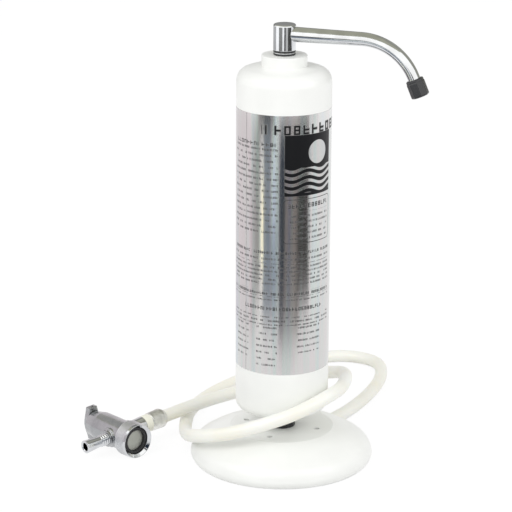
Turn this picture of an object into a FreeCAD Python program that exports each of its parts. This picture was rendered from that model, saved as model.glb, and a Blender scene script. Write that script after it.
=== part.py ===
"""Countertop water filter: a canister on a round base, with a swivel spout, a hose and a tap valve.

The frame is millimetres, +Z up, with the origin at the centre of the base's underside. +X is to the
right of somebody who faces the filter, on the spout's side, and +Y is away from them.
"""

import FreeCAD, Part
import Sketcher

import math
import os
import re

from FreeCAD import Placement, Rotation, Vector

SIZES = (
    # Base
    ("base_radius", 75.0, "widest radius of the moulded base"),
    ("base_foot_inset", 3.5, "how far the foot ring stands in from the widest part of the base"),
    ("base_belly_height", 6.0, "height of the widest part of the rim"),
    ("base_belly_round", 8.5, "rounding under the widest part"),
    ("base_shoulder_inset", 5.5, "how far in from the widest part the rim turns into the slope"),
    ("base_shoulder_height", 16.3, "height where the rim turns into the slope"),
    ("base_shoulder_round", 14.0, "rounding between the widest part and the slope"),
    ("base_slope_round", 90.0, "radius of the slightly domed slope"),
    ("platform_radius", 42.6, "radius of the flat top of the base"),
    ("platform_height", 28.5, "height of the flat top of the base"),
    ("base_wall", 3.0, "wall of the moulded base"),
    ("screw_hole_radius", 2.4, "radius of the small holes in the flat top"),
    ("screw_circle_radius", 30.5, "radius of the circle that the small holes lie on"),
    ("screw_count", 4, "number of small holes"),
    ("screw_turn", 72.0, "angle of the first small hole"),
    ("notch_clearance", 1.5, "gap between the hose and the notch in the rim"),
    # Canister
    ("canister_radius", 38.0, "outside radius of the canister"),
    ("canister_wall", 3.0, "wall of the canister and of its caps"),
    ("collar_radius", 18.2, "radius of the collars on both caps"),
    ("bottom_collar_height", 8.8, "height of the bottom collar"),
    ("top_collar_height", 8.6, "height of the top collar"),
    ("collar_edge", 1.0, "rounding of the collars' edges"),
    ("bottom_round", 6.5, "rounding between the canister's side and its bottom"),
    ("top_round", 10.0, "rounding between the canister's side and its top"),
    ("shoulder_slope", 10.0, "angle at which the top falls away from its collar"),
    ("roof_depth", 6.0, "depth of the inside of the top below the collar's foot"),
    ("bottom_cap_height", 45.0, "height of the bottom cap without its collar"),
    ("tube_length", 203.0, "length of the canister's tube between its caps"),
    ("top_cap_height", 37.7, "height of the top cap without its collar"),
    ("spigot_length", 9.0, "length of each cap's spigot inside the tube"),
    ("spigot_wall", 2.0, "wall of each cap's spigot"),
    ("label_thickness", 0.3, "thickness of the foil label"),
    ("label_below", 5.4, "how far the label reaches below the lower joint"),
    ("label_above", 5.3, "how far the label reaches above the upper joint"),
    ("pad_thickness", 6.0, "thickness of the fibre pads at both ends"),
    ("divider_thickness", 3.0, "thickness of the pad between the two beds"),
    ("metal_bed_height", 52.0, "height of the bed of metal granules"),
    ("bed_gap", 0.6, "gap between the beds and the spigots"),
    ("fit_gap", 0.05, "radial clearance of what screws or pushes in"),
    # Inlet under the canister
    ("stem_radius", 6.5, "radius of the threaded inlet stem"),
    ("stem_bore", 3.5, "radius of the water way in the inlet stem"),
    ("platform_nut_radius", 11.5, "radius of the black nut between base and canister"),
    ("platform_nut_height", 8.0, "height of the black nut"),
    ("under_nut_flats", 20.0, "width across the flats of the nut under the base"),
    ("under_nut_height", 5.0, "height of the nut under the base"),
    ("elbow_radius", 8.0, "radius of the elbow's upright body"),
    ("elbow_foot", 0.8, "gap between the elbow and the table"),
    ("elbow_body_height", 15.0, "height of the elbow's upright body"),
    ("elbow_arm_height", 7.6, "height of the elbow's arm over the table"),
    ("elbow_arm_radius", 6.2, "radius of the elbow's arm"),
    ("elbow_arm_length", 14.0, "length of the elbow's arm before its spigot"),
    ("elbow_spigot_radius", 4.5, "radius of the spigot inside the elbow's nut"),
    ("elbow_nut_radius", 7.0, "radius of the nut on the elbow"),
    ("elbow_nut_length", 10.0, "length of the nut on the elbow"),
    # Spout
    ("post_radius", 8.95, "radius of the swivel post"),
    ("post_length", 20.8, "length of the chrome post over its bushing"),
    ("post_bore", 6.5, "bore of the post"),
    ("post_bore_length", 15.6, "depth of the post's bore"),
    ("post_edge", 1.0, "rounding of the post's top edge"),
    ("bushing_height", 3.5, "height of the black bushing under the post"),
    ("running_gap", 0.06, "radial clearance of what turns in another piece"),
    ("seat_gap", 0.15, "gap between the bushing and the post that turns on it"),
    ("pivot_radius", 7.5, "radius of the pivot's thread in the collar"),
    ("pivot_bore", 3.0, "radius of the water way in the pivot"),
    ("pivot_depth", 8.0, "length of the pivot's thread in the collar"),
    ("pivot_rise", 9.8, "height of the pivot over the collar"),
    ("clip_height", 1.0, "height of the ring that holds the post down"),
    ("clip_reach", 0.7, "how far the ring reaches into the post's wall"),
    ("clip_depth", 0.9, "how deep the ring sits in the pivot"),
    ("clip_place", 4.4, "height of the ring over the collar"),
    ("ring_height", 1.8, "height of the groove of the pivot's seal"),
    ("ring_depth", 1.6, "depth of the groove of the pivot's seal"),
    ("ring_place", 6.8, "height of the seal's groove over the collar"),
    ("spout_height", 12.9, "height of the spout's axis over the bottom of the post"),
    ("spout_turn", 17.5, "angle that the spout is turned towards the viewer"),
    ("spout_root_radius", 6.0, "radius of the spout where it leaves the post"),
    ("spout_tip_radius", 4.8, "radius of the spout at its tip"),
    ("spout_wall", 1.0, "wall of the spout"),
    ("spout_straight", 63.0, "distance from the post's axis to the start of the bend"),
    ("spout_bend_radius", 46.0, "radius of the spout's bend"),
    ("spout_bend_angle", 67.0, "angle of the spout's bend"),
    ("spout_tip_straight", 9.0, "straight length after the bend"),
    ("nozzle_radius", 7.3, "radius of the black nozzle"),
    ("nozzle_length", 14.4, "length of the nozzle"),
    ("nozzle_grip", 8.1, "how far the spout reaches into the nozzle"),
    ("nozzle_sides", 8, "number of flats round the nozzle"),
    ("nozzle_flat", 0.55, "depth of the nozzle's flats"),
    ("nozzle_round", 1.4, "rounding of the nozzle's ends"),
    ("nozzle_outlet", 3.6, "radius of the nozzle's outlet"),
    # Hose
    ("hose_radius", 5.5, "radius of the hose"),
    ("hose_turn", 57.8, "angle at which the hose leaves the base"),
    # Tap valve
    ("valve_x", -118.3, "place of the swivel nut's face, across"),
    ("valve_y", -7.4, "place of the swivel nut's face, away from the viewer"),
    ("valve_turn", 43.0, "angle of the valve's hose tail round the upright"),
    ("valve_roll", 3.8, "angle that the hose tail rises"),
    ("barrel_radius", 12.4, "radius of the valve's barrel"),
    ("barrel_bore", 7.5, "bore of the barrel"),
    ("barrel_end", 57.0, "distance of the barrel's back end from the nut's face"),
    ("barrel_edge", 1.0, "rounding of the barrel's ends"),
    ("neck_radius", 10.0, "radius of the neck inside the swivel nut"),
    ("swivel_radius", 14.7, "radius of the swivel nut"),
    ("swivel_length", 13.5, "length of the swivel nut"),
    ("swivel_thread", 11.6, "radius inside the swivel nut"),
    ("thread_relief", 0.3, "how much wider the swivel nut is behind its thread"),
    ("swivel_lip", 3.1, "thickness of the lip at the back of the swivel nut"),
    ("swivel_edge", 1.2, "rounding of the swivel nut's edges"),
    ("neck_clip_height", 1.2, "thickness of the ring that holds the swivel nut"),
    ("neck_clip_depth", 0.8, "how deep that ring sits in the neck"),
    ("washer_depth", 2.6, "depth of the washer in the swivel nut"),
    ("washer_thickness", 2.5, "thickness of the washer"),
    ("washer_bore", 7.8, "radius of the washer's hole"),
    ("washer_gap", 0.4, "gap between the washer and the swivel nut"),
    ("screen_thickness", 0.5, "thickness of the mesh screen"),
    ("port_place", 24.0, "distance of both side ports from the nut's face"),
    ("boss_radius", 6.9, "radius of the bosses round the side ports"),
    ("boss_reach", 14.6, "how far the bosses reach from the barrel's axis"),
    ("port_radius", 5.0, "radius of the threads in the side ports"),
    ("spindle_waist", 4.6, "radius of the spindle beside the ports"),
    ("waist_length", 9.0, "length of the spindle's waist"),
    ("spindle_front", 17.0, "distance of the spindle's front end from the nut's face"),
    ("spindle_ring_width", 1.8, "width of the grooves for the spindle's seals"),
    ("spindle_ring_depth", 1.5, "depth of the grooves for the spindle's seals"),
    ("shaft_radius", 4.0, "radius of the spindle's shaft"),
    ("gland_length", 5.0, "length of the gland in the barrel's back end"),
    ("lever_gap", 0.5, "gap between the barrel and the lever"),
    ("lever_thickness", 5.6, "thickness of the lever"),
    ("lever_half_length", 14.2, "half the length of the lever"),
    ("lever_tip_width", 8.8, "width of the lever's wings at their tips"),
    ("lever_neck_width", 6.0, "width of the lever's wings where they leave the hub"),
    ("lever_hub_radius", 7.2, "radius of the lever's hub"),
    ("screw_head_radius", 3.2, "radius of the lever screw's head"),
    ("screw_head_height", 1.6, "height of the lever screw's head"),
    ("screw_shank_radius", 1.5, "radius of the lever screw's shank"),
    ("screw_shank_length", 8.0, "length of the lever screw's shank"),
    ("outlet_end", 37.0, "distance of the side outlet's end from the barrel's axis"),
    ("outlet_root_radius", 4.3, "radius of the side outlet next to the boss"),
    ("outlet_end_radius", 5.5, "radius of the side outlet's end"),
    ("outlet_bead", 0.9, "height of the beads on the side outlet"),
    ("outlet_bore", 3.3, "bore of the side outlet"),
    ("tail_root_radius", 6.8, "radius of the hose tail next to its boss"),
    ("tail_radius", 7.4, "radius of the hose tail next to the sleeve"),
    ("tail_edge", 0.6, "bevel of the hose tail's edge at the sleeve"),
    ("tail_end", 24.8, "distance of the sleeve from the barrel's axis"),
    ("tail_spigot", 4.0, "radius of the hose tail's spigot"),
    ("tail_bore", 2.6, "bore of the hose tail"),
    ("sleeve_radius", 7.4, "radius of the white sleeve"),
    ("sleeve_length", 6.5, "length of the white sleeve"),
    ("hose_nut_radius", 7.8, "radius of the knurled nut next to the sleeve"),
    ("hose_nut_flare", 0.5, "how much wider the knurled nut grows towards the hose"),
    ("hose_nut_mouth", 6.4, "radius of the knurled nut's end round the hose"),
    ("hose_nut_taper", 4.6, "length over which the knurled nut narrows to its end"),
    ("hose_nut_length", 15.9, "length of the knurled nut on the hose"),
)

# The hose's route, chosen by hand: its two ends come from the elbow and from the valve.
HOSE_POINTS = (
    (34.1, 54.2, 7.6),
    (56.7, 90.1, 5.6),
    (77.6, 134.6, 5.6),
    (91.3, 183.3, 5.6),
    (89.1, 224.7, 5.6),
    (52.3, 241.9, 5.6),
    (10.4, 216.0, 5.6),
    (-25.4, 184.5, 5.6),
    (-59.1, 141.6, 5.6),
    (-79.5, 96.0, 5.6),
    (-82.2, 58.0, 5.8),
    (-80.0, 16.0, 13.8),
    (-74.0, -24.0, 26.2),
    (-46.0, -45.5, 35.8),
    (-14.0, -50.2, 46.8),
    (14.5, -48.8, 57.0),
    (42.0, -26.7, 65.6),
    (51.1, 18.6, 55.4),
    (56.0, 71.8, 48.1),
    (43.9, 114.4, 34.1),
    (10.5, 129.8, 23.0),
    (-21.8, 115.1, 18.3),
    (-50.8, 91.8, 19.4),
)
HOSE_LAST_RUN = 28.0
RUN_SHARE = 0.45

doc = FreeCAD.newDocument("countertop_water_filter")
sheet = doc.addObject("Spreadsheet::Sheet", "Sizes")
for row, (alias, size, meaning) in enumerate(SIZES, start=1):
    sheet.set("A%d" % row, meaning)
    sheet.set("B%d" % row, str(size))
    sheet.setAlias("B%d" % row, alias)
doc.recompute()

ALIASES = {alias for alias, size, meaning in SIZES}
PARTS = []

# Heights of the stack on the canister's axis, in words of the sheet
UNDERSIDE = "(platform_height - base_wall)"
COLLAR_BOTTOM = "(platform_height + platform_nut_height)"
CANISTER_BOTTOM = "(%s + bottom_collar_height)" % COLLAR_BOTTOM
LOWER_JOINT = "(%s + bottom_cap_height)" % CANISTER_BOTTOM
UPPER_JOINT = "(%s + tube_length)" % LOWER_JOINT
CANISTER_TOP = "(%s + top_cap_height)" % UPPER_JOINT
COLLAR_TOP = "(%s + top_collar_height)" % CANISTER_TOP
POST_BOTTOM = "(%s + bushing_height + seat_gap)" % COLLAR_TOP
TUBE_INSIDE = "(canister_radius - canister_wall)"
SPIGOT_INSIDE = "(%s - fit_gap - spigot_wall)" % TUBE_INSIDE
BED_RADIUS = "(%s - bed_gap)" % SPIGOT_INSIDE


def bound(text):
    """The text with each size's alias led by the sheet's name."""
    return re.sub(r"[a-z_]+", lambda word: _with_sheet(word.group(0)), text)


def _with_sheet(word):
    return "Sizes." + word if word in ALIASES else word


def number(text):
    """The value of a text of sizes, in millimetres or degrees."""
    return float(sheet.evalExpression(bound(text)))


def new_body(label):
    """An empty body that becomes the sub-part of this label."""
    body = doc.addObject("PartDesign::Body", label)
    body.Label = label
    PARTS.append(body)
    return body


def plane_of(body, role):
    """One of the body's own origin planes."""
    return next(item for item in body.Origin.OriginFeatures if item.Role == role)


def new_sketch(body, name, role="XZ_Plane"):
    """A sketch on an origin plane of the body."""
    sketch = body.newObject("Sketcher::SketchObject", name)
    sketch.AttachmentSupport = [(plane_of(body, role), "")]
    sketch.MapMode = "FlatFace"
    return sketch


def hold(sketch, constraint, text):
    """Adds a constraint and binds its value to a text of sizes."""
    index = sketch.addConstraint(constraint)
    sketch.renameConstraint(index, "size%d" % index)
    sketch.setExpression("Constraints.size%d" % index, bound(text))


def place_corner(sketch, edge, end, across, up):
    """Holds one end of an edge at its two distances from the sketch's origin."""
    if across == "0":
        sketch.addConstraint(Sketcher.Constraint("PointOnObject", edge, end, -2))
    else:
        hold(sketch, Sketcher.Constraint("DistanceX", -1, 1, edge, end, number(across)), across)
    if up == "0":
        sketch.addConstraint(Sketcher.Constraint("PointOnObject", edge, end, -1))
    else:
        hold(sketch, Sketcher.Constraint("DistanceY", -1, 1, edge, end, number(up)), up)


def draw(sketch, corners, closed=True):
    """Draws edges from corner to corner, each corner held by sizes.

    A corner is (across, up), or (across, up, radius, side) where an arc leads to the next corner,
    with its centre on the left of the way there for side 1 and on the right for side -1.
    """
    count = len(corners)
    spots = [Vector(number(corner[0]), number(corner[1]), 0) for corner in corners]
    edges = count if closed else count - 1
    starts, ends = [], []
    for index in range(edges):
        corner = corners[index]
        here, there = spots[index], spots[(index + 1) % count]
        if len(corner) == 2:
            edge = sketch.addGeometry(Part.LineSegment(here, there), False)
            starts.append((edge, 1))
            ends.append((edge, 2))
            continue
        radius, side = number(corner[2]), corner[3]
        edge, flipped = add_arc(sketch, here, there, radius, side)
        starts.append((edge, 2 if flipped else 1))
        ends.append((edge, 1 if flipped else 2))
    for index in range(edges):
        place_corner(sketch, *starts[index], corners[index][0], corners[index][1])
        if index + 1 < edges or closed:
            following = starts[(index + 1) % edges]
            sketch.addConstraint(Sketcher.Constraint("Coincident", *ends[index], *following))
        else:
            place_corner(sketch, *ends[index], corners[-1][0], corners[-1][1])
        if len(corners[index]) == 4:
            arc = starts[index][0]
            size = number(corners[index][2])
            hold(sketch, Sketcher.Constraint("Radius", arc, size), corners[index][2])


def add_arc(sketch, here, there, radius, side):
    """Adds an arc to a sketch; a sketch's arcs run anticlockwise, so one with side -1 is flipped."""
    chord = there - here
    reach = math.sqrt(max(radius * radius - chord.Length**2 / 4, 0.0))
    left = Vector(-chord.y, chord.x, 0).normalize()
    centre = (here + there) * 0.5 + left * reach * side
    first, last = (here, there) if side > 0 else (there, here)
    begin = math.atan2(first.y - centre.y, first.x - centre.x)
    finish = math.atan2(last.y - centre.y, last.x - centre.x)
    if finish < begin:
        finish += 2 * math.pi
    circle = Part.Circle(centre, Vector(0, 0, 1), radius)
    edge = sketch.addGeometry(Part.ArcOfCircle(circle, begin, finish), False)
    return edge, side < 0


def revolve(body, name, corners, cut=False):
    """Turns an outline of (radius, height) corners about the body's Z axis."""
    sketch = new_sketch(body, name + "_outline")
    draw(sketch, corners)
    feature = body.newObject("PartDesign::Groove" if cut else "PartDesign::Revolution", name)
    feature.Profile = sketch
    feature.ReferenceAxis = (sketch, ["V_Axis"])
    feature.Angle = 360.0
    return feature


def ring_corners(inside, outside, low, high):
    """The outline of a plain ring."""
    return [(inside, low), (outside, low), (outside, high), (inside, high)]


def ring(label, inside, outside, low, high):
    """A plain ring, washer, bed or sleeve as a body of its own."""
    body = new_body(label)
    revolve(body, label + "_ring", ring_corners(inside, outside, low, high))
    return body


def circle(sketch, across, up, radius):
    """A full circle in a sketch, held by sizes."""
    centre = Vector(number(across), number(up), 0)
    edge = sketch.addGeometry(Part.Circle(centre, Vector(0, 0, 1), number(radius)), False)
    place_corner(sketch, edge, 3, across, up)
    hold(sketch, Sketcher.Constraint("Radius", edge, number(radius)), radius)


def pad(body, name, sketch, length, both_ways=False):
    """Pads a sketch by a length."""
    feature = body.newObject("PartDesign::Pad", name)
    feature.Profile = sketch
    feature.Length = number(length)
    feature.setExpression("Length", bound(length))
    feature.Midplane = both_ways
    return feature


def pocket_through(body, name, sketch):
    """Cuts a sketch through the whole body, to both sides of its plane."""
    feature = body.newObject("PartDesign::Pocket", name)
    feature.Profile = sketch
    feature.Type = "ThroughAll"
    feature.Midplane = True
    return feature


def repeat_round(body, name, feature, sketch, count):
    """Repeats a feature evenly about the body's Z axis."""
    pattern = body.newObject("PartDesign::PolarPattern", name)
    pattern.Originals = [feature]
    pattern.Axis = (sketch, ["N_Axis"])
    pattern.Angle = 360.0
    pattern.Occurrences = int(number(count))
    pattern.setExpression("Occurrences", bound(count))
    body.Tip = pattern
    return pattern


def regular_polygon(sketch, flats, sides):
    """A regular polygon about the sketch's origin, its width across the flats held by a size."""
    step = 360.0 / sides
    corners = []
    for index in range(sides):
        angle = step * (index + 0.5)
        reach = "%s / 2 / cos(%.6f deg)" % (flats, step / 2)
        corners.append(("%s * cos(%.6f deg)" % (reach, angle), "%s * sin(%.6f deg)" % (reach, angle)))
    draw(sketch, corners)


# Base


def make_base():
    """The moulded base: an upturned dish with a flat top, small holes and a notch for the hose."""
    body = new_body("base")
    foot = "base_radius - base_foot_inset"
    shoulder = "base_radius - base_shoulder_inset"
    inside_shoulder = (shoulder + " - base_wall", "base_shoulder_height - base_wall / 2")
    hole = "stem_radius + fit_gap"
    outline = [
        (foot, "0", "base_belly_round", 1),
        ("base_radius", "base_belly_height", "base_shoulder_round", 1),
        (shoulder, "base_shoulder_height", "base_slope_round", 1),
        ("platform_radius", "platform_height"),
        (hole, "platform_height"),
        (hole, UNDERSIDE),
        ("platform_radius - base_wall / 2", UNDERSIDE, "base_slope_round", -1),
        (*inside_shoulder, "base_shoulder_round", -1),
        ("base_radius - base_wall", "base_belly_height", "base_belly_round", -1),
        (foot + " - base_wall", "0"),
    ]
    revolve(body, "base_dish", outline)
    cut_screw_holes(body)
    cut_hose_notch(body)


def cut_screw_holes(body):
    """The ring of small holes through the flat top."""
    sketch = new_sketch(body, "screw_hole_circle", "XY_Plane")
    across = "screw_circle_radius * cos(screw_turn * 1 deg)"
    up = "screw_circle_radius * sin(screw_turn * 1 deg)"
    circle(sketch, across, up, "screw_hole_radius")
    hole = pocket_through(body, "screw_hole", sketch)
    repeat_round(body, "screw_holes", hole, sketch, "screw_count")


def cut_hose_notch(body):
    """The arch through the rim that the hose leaves by."""
    half = "hose_radius + notch_clearance"
    sketch = new_sketch(body, "notch_arch", "YZ_Plane")
    turn = Rotation(Vector(0, 1, 0), number("hose_turn"))
    sketch.AttachmentOffset = Placement(Vector(0, 0, 0), turn)
    sketch.setExpression("AttachmentOffset.Rotation.Angle", bound("hose_turn * 1 deg"))
    draw(
        sketch,
        [
            ("-(%s)" % half, "-base_wall"),
            (half, "-base_wall"),
            (half, "elbow_arm_height", half, 1),
            ("0", "elbow_arm_height + " + half, half, 1),
            ("-(%s)" % half, "elbow_arm_height"),
        ],
    )
    notch = body.newObject("PartDesign::Pocket", "hose_notch")
    notch.Profile = sketch
    notch.Reversed = True
    notch.Length = number("base_radius * 2")
    notch.setExpression("Length", bound("base_radius * 2"))


def make_platform_nut():
    """The black nut that the canister stands on, round the inlet stem."""
    body = new_body("platform_nut")
    inside = "stem_radius + fit_gap"
    edge = "collar_edge / 2"
    revolve(
        body,
        "platform_nut_ring",
        [
            (inside, "platform_height"),
            ("platform_nut_radius - " + edge, "platform_height"),
            ("platform_nut_radius", "platform_height + " + edge),
            ("platform_nut_radius", COLLAR_BOTTOM + " - " + edge),
            ("platform_nut_radius - " + edge, COLLAR_BOTTOM),
            (inside, COLLAR_BOTTOM),
        ],
    )


def make_under_nut():
    """The hexagon nut that clamps the inlet stem to the underside of the flat top."""
    body = new_body("under_nut")
    sketch = new_sketch(body, "under_nut_hexagon", "XY_Plane")
    regular_polygon(sketch, "under_nut_flats", 6)
    circle(sketch, "0", "0", "stem_radius + fit_gap")
    low = UNDERSIDE + " - under_nut_height"
    sketch.AttachmentOffset = Placement(Vector(0, 0, number(low)), Rotation())
    sketch.setExpression("AttachmentOffset.Base.z", bound(low))
    pad(body, "under_nut_block", sketch, "under_nut_height")


def make_inlet_elbow():
    """The elbow under the base: an upright threaded stem and an arm that the hose's nut goes on."""
    body = new_body("inlet_elbow")
    arm_end = "elbow_arm_length + elbow_nut_length"
    stem_top = CANISTER_BOTTOM + " + canister_wall"
    revolve(
        body,
        "elbow_stem",
        [
            ("0", "elbow_foot"),
            ("elbow_radius", "elbow_foot"),
            ("elbow_radius", "elbow_body_height"),
            ("stem_radius", "elbow_body_height + elbow_radius - stem_radius"),
            ("stem_radius", stem_top),
            ("0", stem_top),
        ],
    )
    for name, radius, length in (
        ("elbow_arm", "elbow_arm_radius", "elbow_arm_length"),
        ("elbow_spigot", "elbow_spigot_radius", arm_end),
    ):
        sketch = new_sketch(body, name + "_circle", "YZ_Plane")
        circle(sketch, "0", "elbow_arm_height", radius)
        pad(body, name, sketch, length)
    bore = new_sketch(body, "stem_bore_outline")
    draw(bore, ring_corners("0", "stem_bore", "elbow_arm_height", stem_top))
    groove = body.newObject("PartDesign::Groove", "stem_water_way")
    groove.Profile = bore
    groove.ReferenceAxis = (bore, ["V_Axis"])
    groove.Angle = 360.0
    way = new_sketch(body, "arm_bore_circle", "YZ_Plane")
    circle(way, "0", "elbow_arm_height", "stem_bore - canister_wall / 6")
    cut = body.newObject("PartDesign::Pocket", "arm_water_way")
    cut.Profile = way
    cut.Reversed = True
    cut.Length = number(arm_end)
    cut.setExpression("Length", bound(arm_end))
    body.Placement = turned("hose_turn")


def make_elbow_nut():
    """The round nut that holds the hose on the elbow."""
    body = ring("elbow_nut", "elbow_spigot_radius + fit_gap", "elbow_nut_radius", "0", "elbow_nut_length")
    spot = Vector(number("elbow_arm_length"), 0, number("elbow_arm_height"))
    lying = Placement(spot, Rotation(Vector(0, 1, 0), 90))
    body.Placement = turned("hose_turn") * lying


def turned(angle, sign=1):
    """A turn about the upright axis by an angle of the sheet."""
    return Placement(Vector(0, 0, 0), Rotation(Vector(0, 0, 1), sign * number(angle)))


# Canister


def make_bottom_cap():
    """The lower end of the canister: a collar, a rounded bottom and a spigot inside the tube."""
    body = new_body("bottom_cap")
    hole = "stem_radius + fit_gap"
    floor = CANISTER_BOTTOM + " + canister_wall"
    revolve(
        body,
        "bottom_cap_shell",
        [
            (hole, COLLAR_BOTTOM),
            ("collar_radius - collar_edge", COLLAR_BOTTOM, "collar_edge", 1),
            ("collar_radius", COLLAR_BOTTOM + " + collar_edge"),
            ("collar_radius", CANISTER_BOTTOM),
            ("canister_radius - bottom_round", CANISTER_BOTTOM, "bottom_round", 1),
            ("canister_radius", CANISTER_BOTTOM + " + bottom_round"),
            ("canister_radius", LOWER_JOINT),
            (TUBE_INSIDE + " - fit_gap", LOWER_JOINT),
            (TUBE_INSIDE + " - fit_gap", LOWER_JOINT + " + spigot_length"),
            (SPIGOT_INSIDE, LOWER_JOINT + " + spigot_length"),
            (SPIGOT_INSIDE, floor),
            (hole, floor),
        ],
    )


def make_canister_tube():
    """The canister's straight tube, hidden under the label."""
    ring("canister_tube", TUBE_INSIDE, "canister_radius", LOWER_JOINT, UPPER_JOINT)


def make_top_cap():
    """The upper end of the canister: a spigot, a sloping top and the collar round the pivot."""
    body = new_body("top_cap")
    hole = "pivot_radius + fit_gap"
    roof = CANISTER_TOP + " - roof_depth"
    slope_end = "(canister_radius - top_round * (1 - sin(shoulder_slope)))"
    slope_low = CANISTER_TOP + " - (%s - collar_radius) * tan(shoulder_slope)" % slope_end
    side_top = slope_low + " - top_round * cos(shoulder_slope)"
    revolve(
        body,
        "top_cap_shell",
        [
            (SPIGOT_INSIDE, UPPER_JOINT + " - spigot_length"),
            (TUBE_INSIDE + " - fit_gap", UPPER_JOINT + " - spigot_length"),
            (TUBE_INSIDE + " - fit_gap", UPPER_JOINT),
            ("canister_radius", UPPER_JOINT),
            ("canister_radius", side_top, "top_round", 1),
            (slope_end, slope_low),
            ("collar_radius", CANISTER_TOP),
            ("collar_radius", COLLAR_TOP + " - collar_edge", "collar_edge", 1),
            ("collar_radius - collar_edge", COLLAR_TOP),
            (hole, COLLAR_TOP),
            (hole, roof),
            (SPIGOT_INSIDE, roof),
        ],
    )


def make_label():
    """The foil label wrapped round the tube and over both joints."""
    inside = "canister_radius + fit_gap / 5"
    outside = inside + " + label_thickness"
    ring("label", inside, outside, LOWER_JOINT + " - label_below", UPPER_JOINT + " + label_above")


def make_filling():
    """The filling, from the bottom: pad, metal granules, pad, carbon granules, pad."""
    gap = "bed_gap / 2"
    low = CANISTER_BOTTOM + " + canister_wall + " + gap
    top = CANISTER_TOP + " - roof_depth - " + gap
    pad_top = low + " + pad_thickness"
    metal_top = pad_top + " + metal_bed_height"
    divider_top = metal_top + " + divider_thickness"
    upper_pad_bottom = top + " - pad_thickness"
    ring("lower_pad", "0", BED_RADIUS, low, pad_top)
    ring("metal_bed", "0", BED_RADIUS, pad_top, metal_top)
    ring("divider_pad", "0", BED_RADIUS, metal_top, divider_top)
    ring("carbon_bed", "0", BED_RADIUS, divider_top, upper_pad_bottom)
    ring("upper_pad", "0", BED_RADIUS, upper_pad_bottom, top)


# Spout


def make_pivot():
    """The pivot screwed into the collar, with grooves for its retaining ring and its seal."""
    body = new_body("pivot")
    turning = "post_bore - running_gap"
    clip_low = COLLAR_TOP + " + clip_place"
    seal_low = COLLAR_TOP + " + ring_place"
    revolve(
        body,
        "pivot_shape",
        [
            ("pivot_bore", COLLAR_TOP + " - pivot_depth"),
            ("pivot_radius", COLLAR_TOP + " - pivot_depth"),
            ("pivot_radius", COLLAR_TOP),
            (turning, COLLAR_TOP),
            (turning, clip_low),
            (turning + " - clip_depth", clip_low),
            (turning + " - clip_depth", clip_low + " + clip_height"),
            (turning, clip_low + " + clip_height"),
            (turning, seal_low),
            (turning + " - ring_depth", seal_low),
            (turning + " - ring_depth", seal_low + " + ring_height"),
            (turning, seal_low + " + ring_height"),
            (turning, COLLAR_TOP + " + pivot_rise"),
            ("pivot_bore", COLLAR_TOP + " + pivot_rise"),
        ],
    )


def make_pivot_fittings():
    """The black bushing under the post, the ring that holds the post down, and the seal."""
    turning = "post_bore - running_gap"
    edge = "collar_edge / 2"
    bushing = new_body("post_bushing")
    top = COLLAR_TOP + " + bushing_height"
    revolve(
        bushing,
        "post_bushing_ring",
        [
            (turning + " + fit_gap", COLLAR_TOP),
            ("post_radius - " + edge, COLLAR_TOP),
            ("post_radius", COLLAR_TOP + " + " + edge),
            ("post_radius", top + " - " + edge),
            ("post_radius - " + edge, top),
            (turning + " + fit_gap", top),
        ],
    )
    low = COLLAR_TOP + " + clip_place"
    ring(
        "retaining_ring",
        turning + " - clip_depth + fit_gap",
        "post_bore + clip_reach - running_gap",
        low + " + fit_gap",
        low + " + clip_height - fit_gap",
    )
    low = COLLAR_TOP + " + ring_place"
    ring(
        "pivot_seal",
        turning + " - ring_depth + fit_gap",
        turning + " - fit_gap / 2",
        low + " + fit_gap",
        low + " + ring_height - fit_gap",
    )


def make_post():
    """The chrome post: closed at the top, bored for the pivot, with a side hole for the spout."""
    body = new_body("spout_post")
    top = POST_BOTTOM + " + post_length"
    groove_low = COLLAR_TOP + " + clip_place - seat_gap"
    groove_high = COLLAR_TOP + " + clip_place + clip_height + seat_gap"
    revolve(
        body,
        "post_shape",
        [
            ("post_bore", POST_BOTTOM),
            ("post_radius", POST_BOTTOM),
            ("post_radius", top + " - post_edge", "post_edge", 1),
            ("post_radius - post_edge", top),
            ("0", top),
            ("0", POST_BOTTOM + " + post_bore_length"),
            ("post_bore", POST_BOTTOM + " + post_bore_length"),
            ("post_bore", groove_high),
            ("post_bore + clip_reach", groove_high),
            ("post_bore + clip_reach", groove_low),
            ("post_bore", groove_low),
        ],
    )
    sketch = new_sketch(body, "spout_hole_circle", "YZ_Plane")
    circle(sketch, "0", POST_BOTTOM + " + spout_height", "spout_root_radius + fit_gap")
    hole = body.newObject("PartDesign::Pocket", "spout_hole")
    hole.Profile = sketch
    hole.Reversed = True
    hole.Length = number("post_radius * 2")
    hole.setExpression("Length", bound("post_radius * 2"))
    body.Placement = turned("spout_turn", -1)


def spout_path_corners():
    """The spout's centre line in its own upright plane: straight, bent down, and a short tip."""
    level = POST_BOTTOM + " + spout_height"
    angle = "(spout_bend_angle * 1 deg)"
    bend_x = "spout_straight + spout_bend_radius * sin%s" % angle
    bend_z = level + " - spout_bend_radius * (1 - cos%s)" % angle
    tip_x = bend_x + " + spout_tip_straight * cos%s" % angle
    tip_z = bend_z + " - spout_tip_straight * sin%s" % angle
    return [
        ("post_bore + 2 * seat_gap", level),
        ("spout_straight", level, "spout_bend_radius", -1),
        (bend_x, bend_z),
        (tip_x, tip_z),
    ]


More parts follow.
